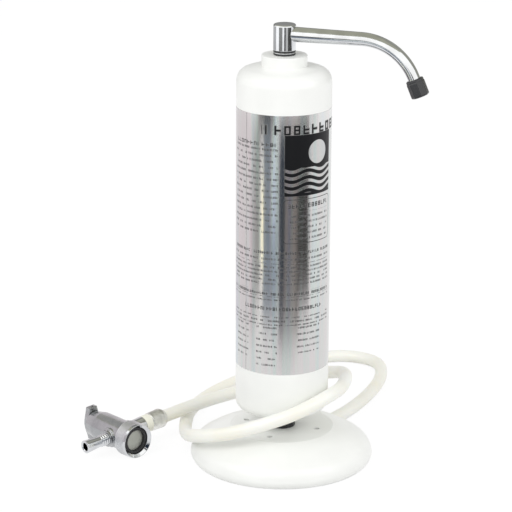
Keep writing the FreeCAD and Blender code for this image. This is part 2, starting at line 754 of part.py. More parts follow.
def make_spout_tube():
    """The bent spout, narrower towards its tip, swept twice: the outside, then the water way."""
    body = new_body("spout_tube")
    path = new_sketch(body, "spout_path")
    draw(path, spout_path_corners(), closed=False)
    start_x = number("post_bore + 2 * seat_gap")
    for name, kind, narrower in (
        ("spout_outside", "PartDesign::AdditivePipe", ""),
        ("spout_inside", "PartDesign::SubtractivePipe", " - spout_wall"),
    ):
        root = new_sketch(body, name + "_root", "YZ_Plane")
        root.AttachmentOffset = Placement(Vector(0, 0, start_x), Rotation())
        root.setExpression("AttachmentOffset.Base.z", bound("post_bore + 2 * seat_gap"))
        circle(root, "0", POST_BOTTOM + " + spout_height", "spout_root_radius" + narrower)
        tip = body.newObject("Sketcher::SketchObject", name + "_tip")
        tip.AttachmentSupport = [(path, "Edge3")]
        tip.MapMode = "NormalToEdge"
        tip.MapPathParameter = 1.0
        circle(tip, "0", "0", "spout_tip_radius" + narrower)
        doc.recompute()
        pipe = body.newObject(kind, name)
        pipe.Profile = root
        pipe.Spine = (path, ["Edge1", "Edge2", "Edge3"])
        pipe.Transformation = "Multisection"
        pipe.Sections = [tip]
    body.Placement = turned("spout_turn", -1)


def make_nozzle():
    """The black nozzle: round, with flats, rounded ends, a socket for the spout and an outlet."""
    body = new_body("nozzle")
    socket = "spout_tip_radius + 2 * running_gap"
    revolve(
        body,
        "nozzle_round_shape",
        [
            (socket, "0"),
            ("nozzle_radius - nozzle_round", "0", "nozzle_round", 1),
            ("nozzle_radius", "nozzle_round"),
            ("nozzle_radius", "nozzle_length - nozzle_round", "nozzle_round", 1),
            ("nozzle_radius - nozzle_round", "nozzle_length"),
            ("nozzle_outlet", "nozzle_length"),
            ("nozzle_outlet", "nozzle_grip + seat_gap"),
            (socket, "nozzle_grip + seat_gap"),
        ],
    )
    sketch = new_sketch(body, "nozzle_flats_outline", "XY_Plane")
    circle(sketch, "0", "0", "nozzle_radius * 2")
    sides = int(number("nozzle_sides"))
    regular_polygon(sketch, "2 * (nozzle_radius - nozzle_flat)", sides)
    pocket_through(body, "nozzle_flats", sketch)
    corner = spout_path_corners()[-1]
    angle = math.radians(number("spout_bend_angle"))
    back = number("nozzle_grip")
    x = number(corner[0]) - back * math.cos(angle)
    z = number(corner[1]) + back * math.sin(angle)
    lean = Rotation(Vector(0, 1, 0), 90 + number("spout_bend_angle"))
    body.Placement = turned("spout_turn", -1) * Placement(Vector(x, 0, z), lean)


# Tap valve, in a frame of its own: Z out of the swivel nut, X along the hose tail


def valve_placement():
    """Where the valve lies: on the rim of its swivel nut, with its axis level."""
    turn = Rotation(Vector(0, 0, 1), number("valve_turn"))
    lying = Rotation(Vector(1, 0, 0), 90)
    roll = Rotation(Vector(0, 0, 1), number("valve_roll"))
    spot = Vector(number("valve_x"), number("valve_y"), number("swivel_radius"))
    return Placement(spot, turn * lying * roll)


def sideways(distance, sign):
    """A place on the side ports' axis, its Z pointing away from the barrel."""
    start = Vector(sign * number(distance), 0, -number("port_place"))
    return valve_placement() * Placement(start, Rotation(Vector(0, 1, 0), sign * 90))


def make_valve_body():
    """The valve's barrel with its neck, its two bosses and the threads in them."""
    body = new_body("valve_body")
    front = "-(washer_depth + washer_thickness + screen_thickness)"
    shoulder = "-(swivel_length + lever_gap)"
    clip_front = "-(swivel_length - swivel_lip - lever_gap - neck_clip_height)"
    clip_back = "-(swivel_length - swivel_lip - lever_gap)"
    neck = "neck_radius - neck_clip_depth"
    bosses = new_sketch(body, "boss_circle", "YZ_Plane")
    circle(bosses, "0", "-port_place", "boss_radius")
    pad(body, "bosses", bosses, "2 * boss_reach", both_ways=True)
    revolve(
        body,
        "barrel",
        [
            ("0", front),
            ("neck_radius", front),
            ("neck_radius", clip_front),
            (neck, clip_front),
            (neck, clip_back),
            ("neck_radius", clip_back),
            ("neck_radius", shoulder),
            ("barrel_radius - barrel_edge", shoulder, "barrel_edge", -1),
            ("barrel_radius", shoulder + " - barrel_edge"),
            ("barrel_radius", "-barrel_end + barrel_edge", "barrel_edge", -1),
            ("barrel_radius - barrel_edge", "-barrel_end"),
            ("0", "-barrel_end"),
        ],
    )
    bore = new_sketch(body, "barrel_bore_circle", "XY_Plane")
    circle(bore, "0", "0", "barrel_bore")
    pocket_through(body, "barrel_bore_hole", bore)
    ports = new_sketch(body, "port_circle", "YZ_Plane")
    circle(ports, "0", "-port_place", "port_radius + fit_gap")
    pocket_through(body, "side_ports", ports)
    body.Placement = valve_placement()


def make_swivel_nut():
    """The nut that screws on the tap: it turns freely round the valve's neck."""
    body = new_body("swivel_nut")
    hole = "neck_radius + running_gap"
    lip = "-(swivel_length - swivel_lip)"
    revolve(
        body,
        "swivel_nut_shell",
        [
            ("swivel_thread", "0"),
            ("swivel_radius - swivel_edge", "0", "swivel_edge", -1),
            ("swivel_radius", "-swivel_edge"),
            ("swivel_radius", "-swivel_length + swivel_edge", "swivel_edge", -1),
            ("swivel_radius - swivel_edge", "-swivel_length"),
            (hole, "-swivel_length"),
            (hole, lip),
            ("swivel_thread + thread_relief", lip),
            ("swivel_thread + thread_relief", "-washer_depth"),
            ("swivel_thread", "-washer_depth"),
        ],
    )
    body.Placement = valve_placement()


def make_swivel_fittings():
    """The washer, the mesh screen behind it and the ring that keeps the nut on the neck."""
    loose = "swivel_thread - washer_gap"
    washer_back = "-(washer_depth + washer_thickness)"
    ring("swivel_washer", "washer_bore", loose, washer_back, "-washer_depth")
    screen_back = "-(washer_depth + washer_thickness + screen_thickness)"
    ring("mesh_screen", "0", "neck_radius", screen_back, washer_back)
    clip_front = "-(swivel_length - swivel_lip - lever_gap - neck_clip_height)"
    clip_back = "-(swivel_length - swivel_lip - lever_gap)"
    ring(
        "swivel_clip",
        "neck_radius - neck_clip_depth + fit_gap",
        loose,
        clip_back + " + fit_gap",
        clip_front + " - fit_gap",
    )
    for body in PARTS[-3:]:
        body.Placement = valve_placement()


def make_spindle():
    """The spindle in the barrel: a spool with a waist at the ports, and a shaft for the lever."""
    body = new_body("valve_spindle")
    spool = "barrel_bore - running_gap"
    deep = spool + " - spindle_ring_depth"
    back = "-(barrel_end - gland_length - seat_gap)"
    shaft_end = "-(barrel_end + lever_gap + lever_thickness)"
    groove = "-(port_place + waist_length / 2 + 2 * spindle_ring_width)"
    groove_back = groove + " - spindle_ring_width"
    revolve(
        body,
        "spindle_shape",
        [
            ("0", "-spindle_front"),
            (spool, "-spindle_front"),
            (spool, "-(port_place - waist_length / 2)"),
            ("spindle_waist", "-(port_place - waist_length / 2)"),
            ("spindle_waist", "-(port_place + waist_length / 2)"),
            (spool, "-(port_place + waist_length / 2)"),
            (spool, groove),
            (deep, groove),
            (deep, groove_back),
            (spool, groove_back),
            (spool, back),
            ("shaft_radius", back),
            ("shaft_radius", shaft_end),
            ("screw_shank_radius + fit_gap", shaft_end),
            ("screw_shank_radius + fit_gap", shaft_end + " + screw_shank_length + seat_gap"),
            ("0", shaft_end + " + screw_shank_length + seat_gap"),
        ],
    )
    body.Placement = valve_placement()


def make_spindle_fittings():
    """The spindle's seal and the gland that closes the barrel's back end."""
    groove = "-(port_place + waist_length / 2 + 2 * spindle_ring_width)"
    spool = "barrel_bore - running_gap"
    ring(
        "spindle_seal",
        spool + " - spindle_ring_depth + fit_gap",
        spool + " - fit_gap / 2",
        groove + " - spindle_ring_width + fit_gap",
        groove + " - fit_gap",
    )
    back = "-(barrel_end - gland_length)"
    ring("valve_gland", "shaft_radius + running_gap", "barrel_bore - fit_gap", "-barrel_end", back)
    for body in PARTS[-2:]:
        body.Placement = valve_placement()


def make_lever():
    """The lever: two flared wings on a round hub, at the back end of the barrel."""
    body = new_body("lever")
    front = "-(barrel_end + lever_gap)"
    wings = new_sketch(body, "wings_outline", "XY_Plane")
    neck = "lever_neck_width / 2"
    tip = "lever_tip_width / 2"
    end = "lever_half_length"
    draw(
        wings,
        [
            ("-(%s)" % tip, "-" + end),
            (tip, "-" + end),
            (neck, "0"),
            (tip, end),
            ("-(%s)" % tip, end),
            ("-(%s)" % neck, "0"),
        ],
    )
    hub = new_sketch(body, "hub_circle", "XY_Plane")
    circle(hub, "0", "0", "lever_hub_radius")
    for name, sketch in (("wings", wings), ("hub", hub)):
        sketch.AttachmentOffset = Placement(Vector(0, 0, number(front)), Rotation())
        sketch.setExpression("AttachmentOffset.Base.z", bound(front))
        feature = pad(body, name, sketch, "lever_thickness")
        feature.Reversed = True
    bore = new_sketch(body, "lever_bore_circle", "XY_Plane")
    circle(bore, "0", "0", "shaft_radius + fit_gap")
    pocket_through(body, "lever_bore", bore)
    body.Placement = valve_placement()


def make_lever_screw():
    """The screw that holds the lever on the spindle's shaft."""
    body = new_body("lever_screw")
    seat = "-(barrel_end + lever_gap + lever_thickness)"
    revolve(
        body,
        "lever_screw_shape",
        [
            ("0", seat + " + screw_shank_length"),
            ("screw_shank_radius", seat + " + screw_shank_length"),
            ("screw_shank_radius", seat),
            ("screw_head_radius", seat),
            ("screw_head_radius", seat + " - screw_head_height"),
            ("0", seat + " - screw_head_height"),
        ],
    )
    body.Placement = valve_placement()


def make_outlet_tube():
    """The side outlet: screwed into its boss, beaded near the root and wider at its end."""
    body = new_body("outlet_tube")
    bead = "outlet_root_radius + outlet_bead"
    start = "boss_reach + lever_gap"
    revolve(
        body,
        "outlet_shape",
        [
            ("outlet_bore", "barrel_bore + seat_gap"),
            ("port_radius", "barrel_bore + seat_gap"),
            ("port_radius", "boss_reach"),
            ("outlet_root_radius", start),
            ("outlet_root_radius", start + " + outlet_bead"),
            (bead, start + " + 2 * outlet_bead"),
            ("outlet_root_radius", start + " + 3 * outlet_bead"),
            ("outlet_root_radius", start + " + 4 * outlet_bead"),
            (bead, start + " + 5 * outlet_bead"),
            ("outlet_root_radius", start + " + 6 * outlet_bead"),
            ("outlet_root_radius", start + " + 7 * outlet_bead"),
            (bead, start + " + 8 * outlet_bead"),
            ("outlet_end_radius", "outlet_end - outlet_bead"),
            ("outlet_end_radius - outlet_bead", "outlet_end"),
            ("outlet_bore", "outlet_end"),
        ],
    )
    body.Placement = sideways("0", -1)


def make_hose_tail():
    """The tail that carries the hose: screwed into its boss, with a thick body and a spigot."""
    body = new_body("hose_tail")
    spigot_end = "tail_end + sleeve_length + hose_nut_length"
    revolve(
        body,
        "tail_shape",
        [
            ("tail_bore", "barrel_bore + seat_gap"),
            ("port_radius", "barrel_bore + seat_gap"),
            ("port_radius", "boss_reach"),
            ("tail_root_radius", "boss_reach"),
            ("tail_radius", "tail_end - tail_edge"),
            ("tail_radius - tail_edge", "tail_end"),
            ("tail_spigot", "tail_end"),
            ("tail_spigot", spigot_end),
            ("tail_bore", spigot_end),
        ],
    )
    body.Placement = sideways("0", 1)


def make_hose_end():
    """The white sleeve and the knurled nut that hold the hose on its tail."""
    inside = "tail_spigot + fit_gap"
    nut_start = "tail_end + sleeve_length"
    ring("hose_sleeve", inside, "sleeve_radius", "tail_end", nut_start)
    nut = new_body("hose_nut")
    edge = "collar_edge"
    nut_end = nut_start + " + hose_nut_length"
    revolve(
        nut,
        "hose_nut_ring",
        [
            (inside, nut_start),
            ("hose_nut_radius - " + edge, nut_start),
            ("hose_nut_radius", nut_start + " + " + edge),
            ("hose_nut_radius + hose_nut_flare", nut_end + " - hose_nut_taper"),
            ("hose_nut_mouth", nut_end),
            (inside, nut_end),
        ],
    )
    for body in PARTS[-2:]:
        body.Placement = sideways("0", 1)


# Hose


def hose_route():
    """The route's points: from the elbow's nut, through the chosen ones, to the valve's nut."""
    along = turned("hose_turn").Rotation.multVec(Vector(1, 0, 0))
    start = along * number("elbow_arm_length + elbow_nut_length")
    start.z = number("elbow_arm_height")
    tail = sideways("0", 1)
    nut_end = number("tail_end + sleeve_length + hose_nut_length")
    end = tail.multVec(Vector(0, 0, nut_end))
    before = tail.multVec(Vector(0, 0, nut_end + HOSE_LAST_RUN))
    return [start] + [Vector(*point) for point in HOSE_POINTS] + [before, end]


def rounded_route(points):
    """Straight runs joined by tangent arcs, each as large as its two runs allow."""
    pieces = []
    radii = []
    here = points[0]
    for before, corner, after in zip(points, points[1:], points[2:]):
        back = before - corner
        ahead = after - corner
        run = min(back.Length, ahead.Length)
        back.normalize()
        ahead.normalize()
        half_turn = (math.pi - back.getAngle(ahead)) / 2
        radius = RUN_SHARE * run / math.tan(half_turn)
        radii.append(radius)
        enter = corner + back * RUN_SHARE * run
        leave = corner + ahead * RUN_SHARE * run
        inward = (back + ahead).normalize()
        centre = corner + inward * (radius / math.cos(half_turn))
        middle = centre - inward * radius
        pieces.append(Part.LineSegment(here, enter).toShape())
        pieces.append(Part.Arc(enter, middle, leave).toShape())
        here = leave
    pieces.append(Part.LineSegment(here, points[-1]).toShape())
    return Part.Wire(pieces), radii


def make_hose():
    """The hose: one round section swept along its whole route."""
    points = hose_route()
    wire, radii = rounded_route(points)
    start = points[0]
    direction = points[1] - start
    radius = number("hose_radius")
    section = Part.Wire(Part.makeCircle(radius, start, direction))
    swept = wire.makePipeShell([section], True, False)
    hose = doc.addObject("Part::Feature", "hose")
    hose.Label = "hose"
    hose.Shape = swept
    hose.Placement = Placement()
    PARTS.append(hose)
    expected = math.pi * radius**2 * wire.Length
    print("hose length %.1f, volume %.0f of %.0f" % (wire.Length, swept.Volume, expected))
    print("hose route", [tuple(round(part, 2) for part in point) for point in (points[0], *points[-2:])])
    print("hose bends", [round(radius) for radius in radii])


def check(parts):
    """Stops where an object failed or a sub-part has no sound solid."""
    for item in doc.Objects:
        if "Invalid" in item.State or "Error" in item.State:
            raise RuntimeError("%s failed: %s" % (item.Name, item.State))
    for item in parts:
        shape = item.Shape
        if shape.isNull() or not shape.isValid() or not shape.Solids:
            raise RuntimeError("%s has no sound solid" % item.Label)


def main():
    make_base()
    make_platform_nut()
    make_under_nut()
    make_inlet_elbow()
    make_elbow_nut()
    make_bottom_cap()
    make_canister_tube()
    make_top_cap()
    make_label()
    make_filling()
    make_pivot()
    make_pivot_fittings()
    make_post()
    make_spout_tube()
    make_nozzle()
    make_valve_body()
    make_swivel_nut()
    make_swivel_fittings()
    make_spindle()
    make_spindle_fittings()
    make_lever()
    make_lever_screw()
    make_outlet_tube()
    make_hose_tail()
    make_hose_end()
    make_hose()
    doc.recompute()
    check(PARTS)
    os.makedirs("parts", exist_ok=True)
    for item in PARTS:
        item.Shape.exportStep("parts/%s.step" % item.Label)
        print("%-16s solids %d volume %10.1f" % (item.Label, len(item.Shape.Solids), item.Shape.Volume))


main()
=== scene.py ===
"""Looks for the countertop water filter, laid out as an add-on and run as a script.

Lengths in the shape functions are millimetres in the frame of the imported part, with +Z up and the
origin at the centre of the base's foot. The meshes are written in metres.
"""

import math

import bmesh
import bpy
import numpy as np
from bpy.props import FloatProperty, FloatVectorProperty, IntProperty, PointerProperty
from bpy.types import Operator, Panel, PropertyGroup
from mathutils import Matrix, Vector


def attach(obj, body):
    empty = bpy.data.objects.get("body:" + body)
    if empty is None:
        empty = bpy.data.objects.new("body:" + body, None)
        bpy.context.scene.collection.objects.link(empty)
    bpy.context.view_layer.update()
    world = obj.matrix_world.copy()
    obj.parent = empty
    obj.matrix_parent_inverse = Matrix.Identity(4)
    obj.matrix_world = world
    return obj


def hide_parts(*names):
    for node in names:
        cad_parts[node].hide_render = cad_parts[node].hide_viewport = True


bl_info = {
    "name": "Countertop water filter",
    "version": (1, 0, 0),
    "blender": (4, 5, 0),
    "location": "3D View > Sidebar > Water filter",
    "description": "Builds the canister, base, spout, hose and tap valve of a countertop water filter",
    "category": "Add Mesh",
}

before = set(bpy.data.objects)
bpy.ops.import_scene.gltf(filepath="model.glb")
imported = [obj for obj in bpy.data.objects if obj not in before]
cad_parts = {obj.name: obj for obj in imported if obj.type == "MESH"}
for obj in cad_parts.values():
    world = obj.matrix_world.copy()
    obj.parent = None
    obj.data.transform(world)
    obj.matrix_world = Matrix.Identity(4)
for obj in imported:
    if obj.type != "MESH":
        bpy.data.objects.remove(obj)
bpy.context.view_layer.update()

MM = 0.001

# Heights on the canister's axis
PLATFORM = 28.5
COLLAR_BOTTOM = 36.5
CANISTER_BOTTOM = 45.3
LOWER_JOINT = 90.3
UPPER_JOINT = 293.3
CANISTER_TOP = 331.0
COLLAR_TOP = 339.6
POST_BOTTOM = 343.25
SPOUT_LEVEL = POST_BOTTOM + 12.9

# Radii about that axis
STEM_BORE = 6.55
PIVOT_BORE = 7.55
COLLAR = 18.2
SPIGOT_BORE = 32.95
SPIGOT = 34.95
CANISTER = 38.0

SPIGOT_LENGTH = 9.0
SHOULDER_SLOPE = math.radians(10.0)
SCREW_CIRCLE = 30.5
HOSE_ARCH = 7.0

# The hose's route, in the same points as the part's source
HOSE_ROUTE = (
    (12.79, 20.31, 7.6), (34.1, 54.2, 7.6), (56.7, 90.1, 5.6), (77.6, 134.6, 5.6), (91.3, 183.3, 5.6),
    (89.1, 224.7, 5.6), (52.3, 241.9, 5.6), (10.4, 216, 5.6), (-25.4, 184.5, 5.6), (-59.1, 141.6, 5.6),
    (-79.5, 96, 5.6), (-82.2, 58, 5.8), (-80, 16, 13.8), (-74, -24, 26.2), (-46, -45.5, 35.8),
    (-14, -50.2, 46.8), (14.5, -48.8, 57), (42, -26.7, 65.6), (51.1, 18.6, 55.4), (56, 71.8, 48.1),
    (43.9, 114.4, 34.1), (10.5, 129.8, 23), (-21.8, 115.1, 18.3), (-50.8, 91.8, 19.4),
    (-79.79, 61.33, 19.68), (-100.22, 42.27, 17.83),
)


def turn(axis, degrees):
    """A turn about one axis."""
    return Matrix.Rotation(math.radians(degrees), 4, axis)


def shift(x, y, z):
    """A move."""
    return Matrix.Translation((x, y, z))


# The valve's own frame: Z out of the swivel nut, X along the hose tail
VALVE = shift(-118.3, -7.4, 14.7) @ turn("Z", 43) @ turn("X", 90) @ turn("Z", 3.8)
PORTS = 24.0
HOSE_SIDE = VALVE @ shift(0, 0, -PORTS) @ turn("Y", 90)
OUTLET_SIDE = VALVE @ shift(0, 0, -PORTS) @ turn("Y", -90)

SPOUT = turn("Z", -17.5)
SPOUT_STRAIGHT = 63.0
SPOUT_BEND = 46.0
SPOUT_ANGLE = math.radians(67.0)
SPOUT_LENGTH = SPOUT_STRAIGHT + SPOUT_BEND * SPOUT_ANGLE + 9.0


def linear(code):
    """An sRGB hex colour as linear red, green and blue."""
    parts = [int(code[i : i + 2], 16) / 255 for i in (1, 3, 5)]
    return [c / 12.92 if c <= 0.04045 else ((c + 0.055) / 1.055) ** 2.4 for c in parts]


def length_setting(name, about, default):
    """A length for the panel, in metres."""
    return FloatProperty(name=name, description=about, default=default, unit="LENGTH")


def colour_setting(name, about, code):
    """A colour for the panel, from its sRGB hex code."""
    return FloatVectorProperty(name=name, description=about, default=linear(code), subtype="COLOR")


class FilterSizes(PropertyGroup):
    """Sizes of the filter's finer shapes."""

    hose_diameter: length_setting("Hose diameter", "Outside diameter of the hose", 0.011)
    label_overlap: length_setting("Label overlap", "How far the label laps over its own start", 0.008)
    knurl_depth: length_setting("Knurl depth", "Depth of the knurl on both nuts", 0.00018)
    swivel_teeth: IntProperty(name="Swivel nut knurl", description="Lines of its knurl", default=96)
    hose_nut_teeth: IntProperty(name="Hose nut knurl", description="Lines of its knurl", default=40)
    grain: length_setting("Moulding grain", "Grain size of the moulded plastics", 0.0011)
    text_pitch: length_setting("Text pitch", "Distance between the small lines on the label", 0.0048)


class FilterColours(PropertyGroup):
    """Colours of the filter's finishes."""

    plastic: colour_setting("White plastic", "Moulded caps and base", "#F6F7F4")
    black: colour_setting("Black plastic", "Nozzle, bushing and nut", "#26272A")
    chrome: colour_setting("Chrome", "Plated spout and valve", "#D7D9DC")
    satin: colour_setting("Satin nickel", "Knurled nut on the hose", "#E8E8E4")
    foil: colour_setting("Label foil", "Metallised film of the label", "#CDCFD0")
    ink: colour_setting("Label ink", "Print on the label", "#141518")
    hose: colour_setting("Hose", "Soft plastic of the hose", "#F7F8F3")
    sleeve: colour_setting("Sleeve", "White sleeve on the hose tail", "#F4F3E4")


# Shapes: a profile or a path worked out as whole arrays


def arc(start, end, radius, side, count=12):
    """Points on the shorter arc from start to end, centre on the left for side 1, right for -1."""
    start, end = np.array(start, float), np.array(end, float)
    chord = end - start
    reach = math.sqrt(radius**2 - chord @ chord / 4)
    left = np.array([-chord[1], chord[0]]) / np.linalg.norm(chord)
    centre = (start + end) / 2 + left * reach * side
    first, last = (np.arctan2(*(p - centre)[::-1]) for p in (start, end))
    sweep = (last - first) * side % (2 * np.pi) * side
    angle = first + sweep * np.linspace(0, 1, count)
    return [(*point, 0.0) for point in centre + radius * np.stack([np.cos(angle), np.sin(angle)], 1)]


def soften(corners, edge=0.25, steps=5, guard=0.3):
    """A profile with rounded corners, each (radius, height) or (radius, height, rounding).

    A corner P of turn a and rounding r starts and ends at r tan(a / 2) from P, and runs on the conic
    with weight cos(a / 2), which is a circle's arc. A point on each straight run beside it keeps the
    run's shading flat.
    """
    points = np.array([corner[:2] for corner in corners], float)
    rounding = np.array([corner[2] if len(corner) > 2 else edge for corner in corners])
    rounding = np.where(points[:, 0] < 1e-6, 0.0, rounding)
    back, ahead = (np.roll(points, way, axis=0) - points for way in (1, -1))
    far_back, far_ahead = (np.linalg.norm(run, axis=1) for run in (back, ahead))
    back /= far_back[:, None]
    ahead /= far_ahead[:, None]
    half = (np.pi - np.arccos(np.clip((back * ahead).sum(1), -1, 1))) / 2
    room = np.minimum(far_back, far_ahead)
    cut = np.minimum(rounding * np.tan(half), 0.499 * room)[:, None]
    beside = np.where(cut > 0, np.minimum(guard, 0.4 * np.maximum(room[:, None] - 2 * cut, 0)), 0)
    start, end = points + back * cut, points + ahead * cut
    t = np.linspace(0, 1, steps)[None, :, None]
    weight = np.cos(half)[:, None, None]
    mix = (1 - t) ** 2, 2 * weight * t * (1 - t), t**2
    bend = sum(share * row[:, None] for share, row in zip(mix, (start, points, end))) / sum(mix)
    rows = [(start + back * beside)[:, None], bend, (end + ahead * beside)[:, None]]
    line = np.concatenate(rows, axis=1).reshape(-1, 2)
    fresh = np.linalg.norm(line - np.roll(line, 1, axis=0), axis=1) > 1e-5
    return line[fresh]


def dense(line, step, loop=True):
    """The same line with no run longer than step within a millimetre of its widest radius."""
    nxt = np.roll(line, -1, axis=0) if loop else np.vstack([line[1:], line[-1:]])
    outside = np.minimum(line[:, 0], nxt[:, 0]) > line[:, 0].max() - 1.0
    counts = np.where(outside, np.ceil(np.linalg.norm(nxt - line, axis=1) / step), 1).astype(int)
    runs = zip(line, nxt, counts)
    pieces = [a + (b - a) * np.linspace(0, 1, max(n, 1), endpoint=False)[:, None] for a, b, n in runs]
    return np.concatenate(pieces)


def stations(low, high, count):
    """Places from low to high, closer together near both ends."""
    near = np.array([0.0, 0.1, 0.3])
    return np.concatenate([low + near, np.linspace(low + 1, high - 1, count), high - near[::-1]])


def ring_grid(radius, angle, height):
    """Points at these radii, angles and heights about Z."""
    return np.stack(np.broadcast_arrays(radius * np.cos(angle), radius * np.sin(angle), height), axis=-1)


def skin(grid, place=None, around=True, loop=True, caps=False):
    """Points and faces of a grid: rows joined in order, closed round and from last row to first."""
    rows, columns = grid.shape[:2]
    index = np.arange(rows * columns).reshape(rows, columns)
    low, high = (index, np.roll(index, -1, axis=0)) if loop else (index[:-1], index[1:])
    if around:
        quads = [low, np.roll(low, -1, axis=1), np.roll(high, -1, axis=1), high]
    else:
        quads = [low[:, :-1], low[:, 1:], high[:, 1:], high[:, :-1]]
    faces = np.stack(quads, axis=-1).reshape(-1, 4)
    points = grid.reshape(-1, 3)
    if place is not None:
        matrix = np.array(place)
        points = points @ matrix[:3, :3].T + matrix[:3, 3]
    a, b, c, d = (points[faces[:, i]] - points.mean(0) for i in range(4))
    volume = (a * (np.cross(b, c) + np.cross(c, d))).sum()
    ends = [index[:, 0][::-1].tolist(), index[:, -1].tolist()] if caps else []
    if volume < 0:
        faces = faces[:, ::-1]
        ends = [end[::-1] for end in ends]
    return points, faces.tolist() + ends


def lathe(corners, place=None, segments=128, step=None, swell=None, edge=0.25):
    """A solid of revolution: the softened profile turned about Z.

    swell, if given, is the factor on the radius at each angle, height and radius.
    """
    line = soften(corners, edge)
    closed = line[:, 0].min() > 1e-6
    if not closed:
        inside = line[:, 0] < 1e-6
        line = np.roll(line, -np.argmax(inside & ~np.roll(inside, -1)), axis=0)
    if step:
        line = dense(line, step, closed)
    angle = np.linspace(0, 2 * np.pi, segments, endpoint=False)[None, :]
    radius, height = line[:, :1], line[:, 1:]
    wide = radius * (swell(angle, height, radius) if swell else np.ones_like(angle))
    return skin(ring_grid(wide, angle, height), place, loop=closed)


def mesh_of(name, shapes):
    """One smooth mesh of several shapes, its poles welded."""
    points, faces, start = [], [], 0
    for shape_points, shape_faces in shapes:
        points.append(shape_points)
        faces += [[start + corner for corner in face] for face in shape_faces]
        start += len(shape_points)
    mesh = bpy.data.meshes.new(name)
    mesh.from_pydata((np.concatenate(points) * MM).tolist(), [], faces)
    work = bmesh.new()
    work.from_mesh(mesh)
    bmesh.ops.remove_doubles(work, verts=work.verts, dist=1e-7)
    work.to_mesh(mesh)
    work.free()
    mesh.shade_smooth()
    return mesh


def read(items, name, width, kind=float):
    """One value of every item, in rows."""
    values = np.empty(len(items) * width, kind)
    items.foreach_get(name, values)
    return values.reshape(-1, width)


def placed(name, data):
    """An object of that data, in the scene."""
    thing = bpy.data.objects.new(name, data)
    bpy.context.scene.collection.objects.link(thing)
    return thing


def piece(name, shapes, finish, node, body="filter"):
    """Puts a shape in the scene with its finish, on the body that it moves with."""
    thing = placed(name, mesh_of(name, shapes))
    thing.data.materials.append(FINISHES[finish])
    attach(thing, body)
    if node:
        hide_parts(node)
    return thing


def turned(name, corners, finish, node, place=None, segments=96, body="filter", **form):
    """Puts one solid of revolution in the scene."""
    return piece(name, [lathe(corners, place, segments, **form)], finish, node, body)


# Nodes and finishes


def feed(tree, value, socket):
    """Links a value to a socket, or sets it there."""
    if isinstance(value, Term):
        value = value.socket
    if isinstance(value, bpy.types.NodeSocket):
        tree.links.new(value, socket)
    else:
        socket.default_value = value


def add(tree, kind, links=None, **settings):
    """One shader node of that kind, with its settings and with its inputs linked or set."""
    node = tree.nodes.new("ShaderNode" + kind)
    for name, value in settings.items():
        setattr(node, name, value)
    for name, value in (links or {}).items():
        feed(tree, value, node.inputs[name])
    return node


def maths(operation, swapped=False):
    """A method that works out one maths node on a term and any other value."""

    def method(self, *others):
        node = add(self.tree, "Math", operation=operation)
        values = (*others, self) if swapped else (self, *others)
        for value, socket in zip(values, node.inputs):
            feed(self.tree, value, socket)
        return Term(self.tree, node.outputs[0])

    return method


class Term:
    """A value that nodes work out. Sums of it are nodes too, and | gives the greater one."""

    __add__ = maths("ADD")
    __sub__ = maths("SUBTRACT")
    __rsub__ = maths("SUBTRACT", swapped=True)
    __mul__ = maths("MULTIPLY")
    __truediv__ = maths("DIVIDE")
    __or__ = maths("MAXIMUM")
    __gt__ = maths("GREATER_THAN")
    __abs__ = maths("ABSOLUTE")
    floor = maths("FLOOR")
    fraction = maths("FRACT")
    sine = maths("SINE")
    root = maths("SQRT")

    def __init__(self, tree, socket):
        self.tree = tree
        self.socket = socket

    def clamped(self):
        return term(self.tree, "Clamp", "Result", {"Value": self})

    def band(self, low, high, soft=0.15):
        """One where this lies between low and high, with a soft edge, else zero."""
        off = abs(self - (low + high) / 2)
        return (((high - low) / 2 + soft / 2 - off) / soft).clamped()

    def spread(self, low, high):
        """A 0.3 to 0.7 noise stretched to the range from low to high."""
        limits = {"Value": self, "From Min": 0.3, "From Max": 0.7, "To Min": low, "To Max": high}
        return term(self.tree, "MapRange", "Result", limits)


def term(tree, kind, output, links=None, **settings):
    """One output of a new node."""
    return Term(tree, add(tree, kind, links, **settings).outputs[output])


def union(masks):
    """The greatest of several masks."""
    total = masks[0]
    for mask in masks[1:]:
        total = total | mask
    return total


def distance(dx, dy):
    return (dx * dx + dy * dy).root()


def opaque(colour):
    """Red, green, blue and full cover of a linear colour or an sRGB hex code."""
    return (*(linear(colour) if isinstance(colour, str) else colour), 1.0)


def blend(factor, one, other):
    """A mix of two colours by a factor."""
    one, other = (value if isinstance(value, Term) else opaque(value) for value in (one, other))
    return term(factor.tree, "Mix", 2, {0: factor, 6: one, 7: other}, data_type="RGBA")


class Finish:
    """A material under way. Values that are constant all over sit on its shader's own sockets."""

    def __init__(self, name, colour, metallic=0.0, **sockets):
        self.material = bpy.data.materials.new(name)
        self.material.use_nodes = True
        self.tree = self.material.node_tree
        self.shader = self.tree.nodes["Principled BSDF"]
        self.give("Base Color", opaque(colour))
        self.give("Metallic", metallic)
        for socket, value in sockets.items():
            self.give(socket.replace("_", " "), value)

    def give(self, socket, value):
        feed(self.tree, value, self.shader.inputs[socket])

    def place(self):
        """The piece's own coordinates."""
        return term(self.tree, "TexCoord", "Object")

    def noise(self, size, detail=2.0, where=None):
        """Noise of that grain size in metres, on the piece's own coordinates."""
        settings = {"Vector": where or self.place(), "Scale": 1 / size, "Detail": detail}
        return term(self.tree, "TexNoise", "Fac", settings)

    def relief(self, height, depth):
        """Bumps of that depth in metres."""
        bump = {"Height": height, "Distance": depth}
        self.give("Normal", term(self.tree, "Bump", "Normal", bump))

    def show(self, node):
        """Puts another shader's result on the surface."""
        self.tree.links.new(node.outputs[0], self.tree.nodes["Material Output"].inputs["Surface"])


